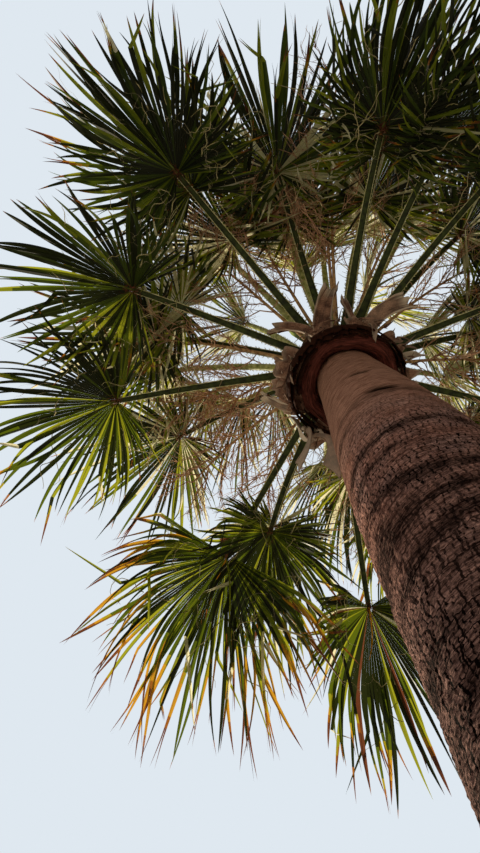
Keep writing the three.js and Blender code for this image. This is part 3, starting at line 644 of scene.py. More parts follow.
# For each base: azimuth, height of its foot above the tip, length, width, lean outwards at the foot, how much
# that grows along it, how far its edges curl out, how much of its end is split, degrees of side sweep, the
# share of its width that it loses, and how pale its edges are, partly bleached and partly painted sunlight.
# The first SOURCE_BASES stand for the source's.
BASES = (
    (0, -0.03, 0.3, 0.17, 30, 20, 0.02, 0.4, 6, 0.4, 0.5),
    (40, -0.03, 0.26, 0.2, 34, 14, 0.02, 0.3, -8, 0.1, 0.4),
    (80, -0.02, 0.28, 0.18, 30, 30, 0.03, 0.5, 10, 0.3, 0.6),
    (120, -0.03, 0.2, 0.16, 40, 24, -0.01, 0.2, -12, 0.1, 0.3),
    (158, -0.02, 0.19, 0.15, 50, 6, 0.0, 0.12, 8, -0.05, 0.2),
    (200, -0.02, 0.22, 0.15, 44, 10, 0.0, 0.1, -4, 0.0, 0.2),
    (240, -0.02, 0.48, 0.12, 24, 24, 0.05, 0.05, 24, 0.5, 0.5),
    (284, 0.0, 0.15, 0.15, 30, 8, 0.02, 0.25, -6, 0.1, 0.2),
    (290, 0.1, 0.37, 0.11, 66, 8, 0.025, 0.05, 21, 0.45, 0.7),
    (20, 0.08, 0.3, 0.14, 36, 20, 0.02, 0.3, 10, 0.5, 0.4),
    (62, 0.07, 0.34, 0.12, 30, 26, 0.03, 0.2, -14, 0.4, 0.6),
    (100, 0.05, 0.25, 0.15, 44, 20, 0.02, 0.5, 8, 0.2, 0.3),
    (150, 0.0, 0.3, 0.045, 60, 10, 0.01, 0.05, 20, 0.4, 1.0),
    (180, 0.03, 0.2, 0.17, 48, 6, 0.0, 0.2, 4, 0.05, 0.2),
    (238, 0.08, 0.28, 0.055, 54, 12, 0.02, 0.05, -25, 0.2, 0.4),
    (281, 0.08, 0.33, 0.034, 26, 10, 0.01, 0.05, -9, 0.5, 0.5),
    (306, -0.01, 0.12, 0.08, 44, 10, 0.02, 0.1, 12, 0.1, 0.2),
    (335, 0.06, 0.2, 0.12, 26, 20, 0.02, 0.35, 6, 0.4, 0.1),
)
# Sheaths torn loose at their foot, which hang: azimuth, radius, height, length, width, lean outwards, degrees
# of side sweep, how pale, partly bleached and partly painted sunlight
FLAPS = (
    (146, 0.46, 0.02, 0.25, 0.1, -8, -15, 0.9), (117, 0.37, 0.0, 0.2, 0.1, 6, 0, 0.0),
    (291, 0.4, 0.02, 0.2, 0.05, -8, 4, 0.3), (168, 0.44, 0.03, 0.1, 0.05, 30, 0, 0.1),
    (85, 0.4, 0.0, 0.18, 0.08, 10, 6, 0.5), (50, 0.41, 0.02, 0.22, 0.07, 20, -6, 0.6),
    (15, 0.41, 0.03, 0.2, 0.09, 12, 8, 0.3), (338, 0.41, 0.04, 0.24, 0.06, 40, 0, 0.8),
    (134, 0.42, 0.0, 0.16, 0.03, 20, 6, 0.7), (126, 0.4, 0.0, 0.26, 0.025, 4, 4, 0.6),
    (129, 0.47, 0.02, 1.0, 0.03, -3, 2, 0.3), (136, 0.45, 0.0, 0.7, 0.02, 0, 3, 0.5),
)
FLAP_ROWS, FLAP_COLUMNS, FLAP_THICKNESS = 14, 9, 0.004
# Torn scraps of sheath all round the crown
SCRAPS, SCRAP_LENGTH, SCRAP_HALF_WIDTH, SCRAP_THICKNESS = 80, (0.05, 0.18), (0.004, 0.015), 0.0025
SCRAP_RADIUS, SCRAP_HEIGHT, SCRAP_ROWS = 0.43, (-0.06, 0.16), 8
# The last tone, on pale edges, is partly bleaching and partly painted sunlight.
BASE_TONES, STAIN_TONES, BLEACHED_AND_SUNLIT_TONE = ("#664434", "#a37d66"), ("#3a241c", "#6e4c3c"), "#dccbb4"


def leaf_base(number, azimuth, foot_height, length, width, flare, curl, cup, split, sweep, taper, bleached_and_sunlit):
    """The outer and inner face of a leaf base, as two grids, and how pale it is at each point, partly
    bleaching and partly painted sunlight. Along it, its lean grows from flare by curl, and it sweeps aside.
    Across it, it is wrapped round the collar, its edges curl out by the square of their distance and thicken
    to a rim. Its end is cut back in the middle by the split and frayed by noise."""
    across = np.linspace(-1, 1, BASE_COLUMNS)[None, :]
    share = np.linspace(0, 1, BASE_ROWS)[:, None]
    edge = (across + 1) / 2
    opening = SPLIT_WIDTH + SPLIT_WIDENING * split
    ended = 1 - split * np.exp(-(((across - 0.3 * np.cos(3 * number)) / opening) ** 2))
    ended = ended + 0.16 * ragged(edge, number, 3, 80) + 0.04 * ragged(edge, number, 19, 81)
    along = share * length * ended
    lean = np.radians(flare + curl * share / 2)
    half_width = width / 2 * (1.05 - taper * share + 0.1 * np.sin(4 * share + number))
    foot = collar_radius(azimuth, max(foot_height, 0)) - BASE_SINK
    curled = (cup * across**2 + 0.012 * np.sin(5 * across + number) * share) * (0.3 + 0.7 * share)
    reach = foot + along * np.sin(lean) + curled * np.cos(lean) - 0.02 * across**2 * (1 - share)
    height = foot_height + along * np.cos(lean) - curled * np.sin(lean)
    ribs = 0.003 * ragged(edge, share * 3, 15, 82 + number) + 0.006 * ragged(edge, share * 7, 5, 105 + number)
    turned = azimuth + np.degrees(across * half_width / foot) + sweep * share**1.3
    rim = RIM_THICKNESS * np.exp(-(((np.abs(across) - RIM_PLACE) / RIM_WIDTH) ** 2))
    thick = BASE_THICKNESS * (1 - 0.6 * across**4) * (1 - (0.3 + taper / 2) * share) + rim
    outer = crown_point(turned, reach + thick + ribs, height - thick * np.sin(lean))
    inner = crown_point(turned, reach + ribs - 0.4 * rim, height + 0 * thick)
    # Pale edges and end: partly bleaching, partly painted sunlight.
    pale = bleached_and_sunlit * np.maximum(eased(np.abs(across), 0.75, 1.0), eased(share, 0.8, 1.0))
    pale = pale + 0.5 * max(bleached_and_sunlit - 0.5, 0)
    return outer, inner, pale


def flap(number, azimuth, radius, height, length, width, lean, sweep):
    """A hanging sheath as a grid: it narrows to a torn point, leans out, curls across and flutters."""
    across = np.linspace(-1, 1, FLAP_COLUMNS)[None, :]
    share = np.linspace(0, 1, FLAP_ROWS)[:, None]
    ended = 1 - 0.35 * np.abs(across) + 0.12 * ragged((across + 1) / 2, number, 5, 120)
    along = share * length * ended
    half_width = width / 2 * (1 - 0.75 * share**1.4) * (1 + 0.12 * np.sin(7 * share + number))
    lean = np.radians(lean) + 0.3 * np.sin(2.5 * share + number)
    bulge = 0.018 * across**2 + 0.014 * np.sin(6 * share + 2 * across + number)
    turned = azimuth + np.degrees(across * half_width / radius) + sweep * share
    points = crown_point(turned, radius + along * np.sin(lean) + bulge, height - along * np.cos(lean))
    return points.reshape(-1, 3), grid_faces(FLAP_ROWS, FLAP_COLUMNS, closed=False)


def leaf_base_wood():
    """Dry leaf base: grey-tan wood with fine ribs along it, 3 to 8 mm apart, stained in blotches, and pale at
    its edges, partly bleached by the sun and partly painted sunlight."""
    material, place = new_material("dry_leaf_base")
    stretched = add_node(material, "Mapping", {"Vector": place, "Scale": (120, 120, 14)})
    tones = (BASE_TONES, STAIN_TONES)
    grain, (colour, stained) = grained(material, stretched, 1.0, 5.0, 0.6, (0.3, 0.7), *tones)
    blotches = add_node(material, "TexNoise", {"Vector": place, "Scale": 14.0, "Detail": 3.0})
    blotch = add_node(material, "MapRange", {0: blotches, 1: 0.42, 2: 0.62})
    rim = add_node(material, "Attribute", output="Fac", attribute_name="rim")
    for over, layer in ((blotch, stained), (rim, linear(BLEACHED_AND_SUNLIT_TONE))):
        layers = {0: over, 6: colour, 7: layer}
        colour = add_node(material, "Mix", layers, 2, data_type="RGBA")
    return finished(material, colour, 0.8, 0.3, grain, 0.6, 0.003)


base_finish = leaf_base_wood()
lining_finish = fibre_mat("base_lining", "#2c120b", "#6c3c26", (90, 90, 18))
size = BASE_ROWS * BASE_COLUMNS
index = np.arange(size).reshape(BASE_ROWS, BASE_COLUMNS)
border = np.concatenate([index[0, :-1], index[:-1, -1], index[-1, :0:-1], index[:0:-1, 0]])
after = np.roll(border, -1)
walls = np.stack([after, border, border + size, after + size], -1)
sheet = grid_faces(BASE_ROWS, BASE_COLUMNS, closed=False)
for number, shape in enumerate(BASES, start=1):
    outer, inner, pale = leaf_base(number, *shape)
    outer, inner = outer.reshape(-1, 3), inner.reshape(-1, 3)
    make_piece(
        f"old_leaf_base_{number}", np.vstack([outer, inner]), [sheet, walls], base_finish, "leaf_base",
        [f"leaf_base_{number}"] if number <= SOURCE_BASES else (), rim=np.append(pale, pale),
    )
    make_piece(f"leaf_base_lining_{number}", inner, sheet[:, ::-1], lining_finish, "leaf_base")

flaps = [flap(number, *shape[:-1]) for number, shape in enumerate(FLAPS)]
hanging = make_piece(
    "hanging_sheaths", *joined(flaps), base_finish, "leaf_base",
    rim=np.repeat([shape[-1] for shape in FLAPS], FLAP_ROWS * FLAP_COLUMNS),
)
thicken(hanging, FLAP_THICKNESS)

draw = np.random.default_rng(110)
azimuth = draw.uniform(0, 360, SCRAPS)[:, None]
length = draw.uniform(*SCRAP_LENGTH, SCRAPS)[:, None]
width = draw.uniform(*SCRAP_HALF_WIDTH, SCRAPS)[:, None]
steps = np.linspace(0, 1, SCRAP_ROWS)
twist = draw.uniform(-2.5, 2.5, (SCRAPS, 1)) * steps + draw.uniform(0, 6, (SCRAPS, 1))
lean = draw.uniform(0.2, 1.0, (SCRAPS, 1)) - draw.uniform(0, 0.8, (SCRAPS, 1)) * steps
scrap_radius = SCRAP_RADIUS + np.cumsum(np.sin(lean), axis=1) * length / SCRAP_ROWS
fall = np.cumsum(np.cos(lean), axis=1) * length / SCRAP_ROWS
scrap_height = draw.uniform(*SCRAP_HEIGHT, (SCRAPS, 1)) - fall
centre = crown_point(azimuth + draw.normal(0, 6, (SCRAPS, 1)) * steps, scrap_radius, scrap_height)
side = np.stack([np.cos(twist + azimuth), np.sin(twist + azimuth), 0.3 * np.sin(twist)], -1)
side = side * (width * (1 - steps**2 * 0.9))[..., None]
scrap_points = np.stack([centre - side, centre + side], 2).reshape(SCRAPS, -1, 3)
scrap_faces = grid_faces(SCRAP_ROWS, 2, closed=False)
scraps = make_piece(
    "sheath_scraps", *joined([(points, scrap_faces) for points in scrap_points]), base_finish, "leaf_base",
    rim=np.repeat(0.5 * draw.uniform(0, 1, SCRAPS) ** 3, SCRAP_ROWS * 2),
)
thicken(scraps, SCRAP_THICKNESS)


# Leaf stalks
# A fan palm's stalk is a tough green beam, flat or channelled above and round below, which widens to clasp
# the crown. Both its edges are pale and armed with hooked teeth.
STALK_WIDTH, STALK_END_WIDTH, STALK_DEPTH = 0.06, 0.036, 0.6
STALK_SINK, STALK_CURVE = 0.035, 0.45
STALK_STATIONS = 18
STALK_SECTION = np.array([
    (-1, 0.12), (-0.93, -0.35), (-0.72, -0.7), (-0.38, -0.94), (0, -1), (0.38, -0.94), (0.72, -0.7),
    (0.93, -0.35), (1, 0.12), (0.8, 0.42), (0.45, 0.22), (0, 0.12), (-0.45, 0.22), (-0.8, 0.42),
])  # in half widths and half depths, looking along the stalk
CLASP, CLASP_LENGTH = 0.55, 0.06  # how much wider it is at the collar, fading over that share of it
EDGE_RADIUS, EDGE_STATIONS = 0.0034, 14
TOOTH_SPACING, TOOTH_LENGTH, TOOTH_RADII = 0.03, 0.015, (0.0052, 0.0032, 0.0006)
TOOTH_LEANS, LEAN_SHARES = (-0.5, 0.6), (0.3, 0.7)  # how far teeth hook back or forward, and how many do
TOOTHED_SHARE = 0.9  # of the stalk's length
# One row for each frond: azimuth, reach of the fan's hub from the crown's axis, the hub's height above the
# tip, the fan's pitch, radius, droop, dome, half spread, roll and leaflets, height of the stalk's foot
LOW_FRONDS = (
    (122, 1.68, 0.24, -22, 1.33, 1.1, 1.0, 92, 8, 15, 0.42),
    (84, 1.83, 0.11, -30, 1.32, 1.0, 1.3, 84, -6, 15, 0.4),
    (174, 1.7, 0.3, -20, 1.28, 1.2, 0.9, 96, 4, 15, 0.43),
    (-129, 1.69, 0.56, -14, 1.3, 1.2, 0.8, 96, -6, 15, 0.46),
    (-78, 1.59, 0.6, -16, 1.28, 1.2, 0.8, 96, 6, 15, 0.44),
    (-20, 1.5, 0.42, -22, 1.26, 1.3, 0.9, 94, 0, 15, 0.42),
    (42, 1.64, 0.26, -28, 1.26, 1.3, 0.9, 94, 4, 15, 0.43),
    (13, 1.56, 0.14, -36, 1.22, 1.2, 1.0, 90, -4, 13, 0.38),
    (-52, 1.8, 0.26, -30, 1.24, 1.2, 0.9, 92, 4, 13, 0.4),
    (-157, 1.64, 0.3, -26, 1.22, 1.2, 0.9, 92, 0, 13, 0.4),
    (-80, 1.72, 0.42, -22, 1.2, 1.2, 0.9, 94, -6, 15, 0.43),
    (-66, 1.74, 0.4, -22, 1.24, 1.2, 0.9, 94, 8, 15, 0.43),
    (-129, 1.84, 0.4, -22, 1.25, 1.2, 0.9, 94, 4, 15, 0.43),
    (112, 1.44, 0.45, -36, 1.22, 1.3, 1.0, 92, 6, 15, 0.47),
)
LOW_COUNT, MIDDLE_COUNT = 10, 8  # of each tier, the first ones, which stand for the source's
MIDDLE_FRONDS = (
    (108, 1.56, 0.84, -4, 1.18, 1.2, 0.8, 96, 4, 13, 0.52),
    (-105, 1.48, 1.0, 4, 1.22, 1.2, 0.7, 96, -4, 13, 0.54),
    (150, 1.44, 1.05, 6, 1.16, 1.1, 0.7, 96, 4, 13, 0.54),
    (-172, 1.42, 0.86, 0, 1.16, 1.2, 0.8, 96, 0, 13, 0.53),
    (-40, 1.42, 1.0, 4, 1.18, 1.2, 0.8, 96, 0, 13, 0.53),
    (66, 1.48, 0.98, 2, 1.16, 1.2, 0.8, 96, 0, 13, 0.53),
    (28, 1.44, 1.06, 6, 1.14, 1.2, 0.8, 96, 4, 13, 0.54),
    (-6, 1.46, 0.96, 4, 1.14, 1.2, 0.8, 96, -4, 13, 0.53),
    (-162, 1.26, 1.0, 2, 1.14, 1.2, 0.8, 96, 8, 13, 0.5),
    (-73, 1.26, 1.05, 4, 1.14, 1.1, 0.8, 96, 4, 13, 0.5),
    (-12, 1.22, 1.0, 2, 1.12, 1.2, 0.8, 96, 6, 13, 0.5),
    (46, 1.3, 0.96, 2, 1.12, 1.2, 0.8, 96, 6, 13, 0.49),
    (78, 1.12, 1.04, 6, 1.08, 1.2, 0.8, 96, -6, 13, 0.53),
    (-129, 1.18, 1.1, 6, 1.1, 1.2, 0.8, 96, 5, 13, 0.5),
    (-103, 1.08, 1.2, 8, 1.08, 1.2, 0.8, 96, -5, 13, 0.55),
)
# Upper fronds follow one rule: each stands a golden angle on from the last, and steeper. A pair of values is
# for the first and the last. BETWEEN are the numbers of more of them, between the rule's own.
UPPER_COUNT, UPPER_START, GOLDEN_ANGLE = 10, 171, 137.5
BETWEEN = (0.6, 1.5, 2.5, 3.5, 4.5, 5.85, 7.5, 8.5)
UPPER_RISE, UPPER_LENGTH, UPPER_FOOT = (34, 72), (1.33, 1.12), (0.56, 0.64)
UPPER_FOOT_REACH, UPPER_NOD = 0.2, 12
UPPER_RADIUS, UPPER_FAN = (1.14, 0.96), (1.4, 0.8, 100, 0, 11)


def frond_from(azimuth, reach, height, pitch, radius, droop, dome, spread, roll, leaflets, foot):
    """A frond's named sizes from its row, with its hub and the directions of its fan."""
    away, side = outward(azimuth), np.cross(UP, outward(azimuth))
    heading = np.cos(np.radians(pitch)) * away + np.sin(np.radians(pitch)) * UP
    across = np.cos(np.radians(roll)) * side + np.sin(np.radians(roll)) * np.cross(heading, side)
    hub = crown_point(azimuth, reach, height)
    start = crown_point(azimuth, collar_radius(azimuth, foot) - STALK_SINK, foot)
    bend = hub - heading * STALK_CURVE * np.linalg.norm(start - hub)
    return {
        "hub": hub, "side": side, "heading": heading, "across": across, "normal": np.cross(heading, across),
        "radius": radius, "droop": droop, "dome": dome, "spread": np.radians(spread), "leaflets": leaflets,
        "stalk": (start, bend, hub),
    }


def upper_frond(number):
    """An upper frond from its number: its hub lies at a rising angle from a foot near the crown's axis."""
    share = number / (UPPER_COUNT - 1)
    rise, length, foot = mix(*UPPER_RISE, share), mix(*UPPER_LENGTH, share), mix(*UPPER_FOOT, share)
    reach = UPPER_FOOT_REACH + length * np.cos(np.radians(rise))
    height = foot + length * np.sin(np.radians(rise))
    azimuth = UPPER_START + GOLDEN_ANGLE * number
    return frond_from(azimuth, reach, height, rise - UPPER_NOD, mix(*UPPER_RADIUS, share), *UPPER_FAN, foot)


def curve_point(ends, share):
    """A quadratic curve through its first and last point, drawn towards the middle one."""
    start, bend, end = ends
    share = np.asarray(share)[..., None]
    return (1 - share) ** 2 * start + 2 * share * (1 - share) * bend + share**2 * end


def curve_way(ends, share):
    """The direction of that curve."""
    start, bend, end = ends
    share = np.asarray(share)[..., None]
    return unit((1 - share) * (bend - start) + share * (end - bend))


def stalk_half_width(share):
    """Half a stalk's width, from the collar to the hub, with the clasp at its foot."""
    return mix(STALK_WIDTH, STALK_END_WIDTH, share**0.7) / 2 * (1 + CLASP * np.exp(-share / CLASP_LENGTH))


def stalk_grid(frond):
    """A stalk's rings of points: its section, scaled to its width, carried along its curve."""
    share = np.linspace(0, 1, STALK_STATIONS) ** 1.3
    centre, way = curve_point(frond["stalk"], share), curve_way(frond["stalk"], share)
    upward = np.cross(way, frond["side"])
    half = stalk_half_width(share)[:, None, None]
    x, y = STALK_SECTION.T[..., None]
    rings = centre[:, None] + half * (x * frond["side"] + y * STALK_DEPTH * upward[:, None])
    rings = with_ends(rings, centre[0], centre[-1])
    return rings.reshape(-1, 3), grid_faces(STALK_STATIONS + 2, len(x), closed=True)


def stalk_edges(frond, draw):
    """Both pale edges of a stalk, as thin rods along its sides, and their teeth: three-sided spikes that
    hook towards the fan."""
    share = np.linspace(0.03, 0.99, EDGE_STATIONS)
    length = np.linalg.norm(frond["stalk"][2] - frond["stalk"][0])
    teeth = int(length * TOOTHED_SHARE / TOOTH_SPACING)
    parts = []
    for hand in (-1, 1):
        side = hand * frond["side"]
        edge = curve_point(frond["stalk"], share) + side * stalk_half_width(share)[:, None]
        radii = EDGE_RADIUS * np.sqrt(np.sin(np.pi * np.clip(share, 0.02, 0.98)) + 0.3)
        parts.append(rods(edge[None], radii[None], 5))
        place = np.clip((np.arange(teeth) + 0.5 + 0.3 * draw.uniform(-1, 1, teeth)) / teeth, 0.02, 0.98)
        root = curve_point(frond["stalk"], place) + side * (stalk_half_width(place) - 0.001)[:, None]
        way = curve_way(frond["stalk"], place)
        size = (TOOTH_LENGTH * draw.uniform(0.55, 1.15, teeth) * (1.25 - 0.6 * place))[:, None]
        lean = draw.choice(TOOTH_LEANS, teeth, p=LEAN_SHARES)[:, None]
        elbow = root + side * size * 0.55 + way * size * 0.15 * lean
        tooth = np.stack([root, elbow, root + side * size + way * size * lean], 1)
        parts.append(rods(tooth, np.array(TOOTH_RADII) + np.zeros((teeth, 3)), 4))
    return parts


def waxy_skin(name, dark, light, roughness, scale):
    """Living palm tissue: a smooth, waxy skin over fine fibres, with a soft sheen and a faint mottle. The
    mottle has scale cells to a metre."""
    material, place = new_material(name)
    grain, (colour,) = grained(material, place, scale, 4.0, 0.6, (0.35, 0.65), (dark, light))
    return finished(material, colour, roughness, 0.2, grain, 0.25, 0.002)


low_fronds = [frond_from(*row) for row in LOW_FRONDS]
middle_fronds = [frond_from(*row) for row in MIDDLE_FRONDS]
upper_fronds = [upper_frond(number) for number in (*range(UPPER_COUNT), *BETWEEN)]
fronds = low_fronds + middle_fronds + upper_fronds
stalk_nodes = [f"frond_{number}_stalk" for number in range(1, LOW_COUNT + 1)]
draw = np.random.default_rng(120)
# The older stalks are dark olive green, darkened further as painted shade.
make_piece(
    "stalks", *joined([stalk_grid(frond) for frond in low_fronds + middle_fronds]),
    waxy_skin("stalk_skin", "#191e0a", "#3a4519", 0.5, 25), "stalk", stalk_nodes,
)
# The young stalks are paler yellow-green, and lightened further as painted sunlight.
make_piece(
    "young_stalks", *joined([stalk_grid(frond) for frond in upper_fronds]),
    waxy_skin("young_sunlit_stalk_skin", "#7c8638", "#ccd088", 0.45, 25), "young_leaf",
)
edge_parts = [part for frond in fronds for part in stalk_edges(frond, draw)]
make_piece(
    "stalk_edges", *joined(edge_parts), waxy_skin("stalk_edge_horn", "#a09e54", "#ece6b8", 0.38, 30), "stalk"
)


# Fans of leaflets
# A fan is one pleated blade: its leaflets are joined side by side for two fifths of their length and then
# part, each a stiff folded strap that narrows, droops and frays. Age turns them gold and brown from the tip.
JOINED_SHARE = 0.38  # of a fan's radius, up to which its leaflets are joined
FINER = 3.2  # leaflets for each tongue of the source's fan
FOLD, FOLD_END = 0.8, 0.6  # radians that each half of a leaflet stands up from flat, joined and at its tip
FULLNESS, NARROWING = 2.3, 0.85  # a free leaflet is (1 - share ** FULLNESS) ** NARROWING of its full width
WIDEST = 0.52  # a leaflet widens up to this share of its length
TONGUE_SHARE, TONGUE_LENGTH = 0.16, 1.45  # splits that start later, and by how much
SPLIT_VARIATION = 0.2  # how much every split's start varies
LEAF_STATIONS = np.array([
    0.027, 0.09, 0.17, 0.25, 0.32, 0.38, 0.43, 0.48, 0.53, 0.58, 0.63, 0.68, 0.73, 0.78, 0.83, 0.88, 0.92,
    0.96, 1.0,
])
# Some leaflets fray: how many, from which share of their length, and how far. Some break and hang: how many,
# between which shares of their free part, and how far from straight.
FRAYED_SHARE, FRAYED_FROM, FRAYED_GAP = 0.4, 0.84, 0.025
BROKEN_SHARE, BROKEN_SPAN, BROKEN_TURN = 0.17, (0.1, 0.7), 0.85
TWIST, LIFT = 0.8, 0.07  # radians about its own line, and of rise from the fan
# The darkest tint is painted shade and the pale cream one is painted sunlight; the light yellow-green one is
# partly yellowing and partly painted sunlight.
TINTS = {  # each with its face colour, the colour of light through it, and its share of that light
    "painted_shade": ("#1f2213", "#3a4516", 0.2),
    "green": ("#313f1e", "#728418", 0.32),
    "light": ("#5e7022", "#b6ba2c", 0.4),
    "olive": ("#7e7422", "#c4b428", 0.4),
    "gold": ("#a87a20", "#e8b030", 0.4),
    "amber": ("#85521f", "#c27c2c", 0.35),
    "rust": ("#5e3722", "#96583a", 0.28),
    "painted_sunlit": ("#b9ba94", "#fbf6d0", 0.55),
}
PAINTED_SHADE, GREEN, LIGHT, OLIVE, GOLD, AMBER, RUST, PAINTED_SUNLIT = range(len(TINTS))
# Broken leaflets hang in the painted-shade tint, the light one or the painted-sunlight one.
BROKEN_TINTS, BROKEN_SHARES = (PAINTED_SHADE, LIGHT, PAINTED_SUNLIT), (0.3, 0.35, 0.35)
# In shares of a leaflet's length: where its tip turns brown and how unevenly, how much sooner where it turns
# gold, and how much sooner still that leaflet turns light
BROWN_FROM, BROWN_SPREAD, BROWN_SOONER, LIGHT_SOONER = 1.05, 0.06, (0.06, 0.2), (0.05, 0.35)
# How each kind of fan looks: shares of leaflets in painted shade, green, light (partly painted sunlight), in
# painted sunlight and dead, the share that turns gold and how far from the tip, how limp they are, how wide
# when free, how much of the fan stays joined, how far the outermost turn back past the source's spread,
# factors for length and number, how much shorter they are at the sides, how uneven in length, and how much
# they sway
LOOKS = {
    "oldest": ((0.32, 0.42, 0.22, 0.01, 0.03), 0.7, 0.36, 1.4, 1.25, 0.9, 1.02, 1.18, 1.9, 0.05, 0.34, 0.11),
    "second": ((0.34, 0.44, 0.18, 0.02, 0.02), 0.35, 0.14, 1.6, 1.3, 1.05, 1.45, 1.06, 1.25, 0.2, 0.2, 0.07),
    "low": ((0.41, 0.4, 0.18, 0.01, 0.0), 0.16, 0.1, 1.8, 0.9, 0.85, 1.32, 1.05, 1.15, 0.38, 0.2, 0.09),
    "middle": ((0.27, 0.23, 0.25, 0.24, 0.01), 0.12, 0.1, 1.2, 0.9, 0.75, 1.6, 1.0, 1.0, 0.28, 0.16, 0.07),
    "upper": ((0.02, 0.13, 0.37, 0.48, 0.0), 0.05, 0.1, 0.6, 0.6, 0.5, 1.5, 1.0, 1.0, 0.24, 0.14, 0.06),
}
MIDDLE_SHADE = 0.45  # the share of leaflets straight ahead that lie in the shade of those above them


def leaflet_point(frond, angle, reach, limpness=0.0):
    """Where a leaflet's line lies at a reach from the hub. It sets off in the fan's dome, at its angle from
    the heading, and turns down by its own weight as the square of its share of the radius, in 8 steps. The
    free part turns down by its limpness too."""
    angle, reach = np.broadcast_arrays(np.asarray(angle, float), np.asarray(reach, float))
    fold = np.where(np.abs(angle) < np.pi / 2, np.sin(angle) ** 2, 1)[..., None]
    start = unit(
        np.cos(angle)[..., None] * frond["heading"]
        + np.sin(angle)[..., None] * frond["across"]
        - frond["dome"] * fold * frond["normal"]
    )
    steps = 8
    place = np.zeros_like(start) + frond["hub"]
    for step in range(steps):
        share = (step + 0.5) * reach / steps / frond["radius"]
        droop = frond["droop"] * share**2 + limpness * np.clip(share - JOINED_SHARE, 0, None) ** 1.5
        place = place + unit(start - UP * droop[..., None]) * reach[..., None] / steps
    return place


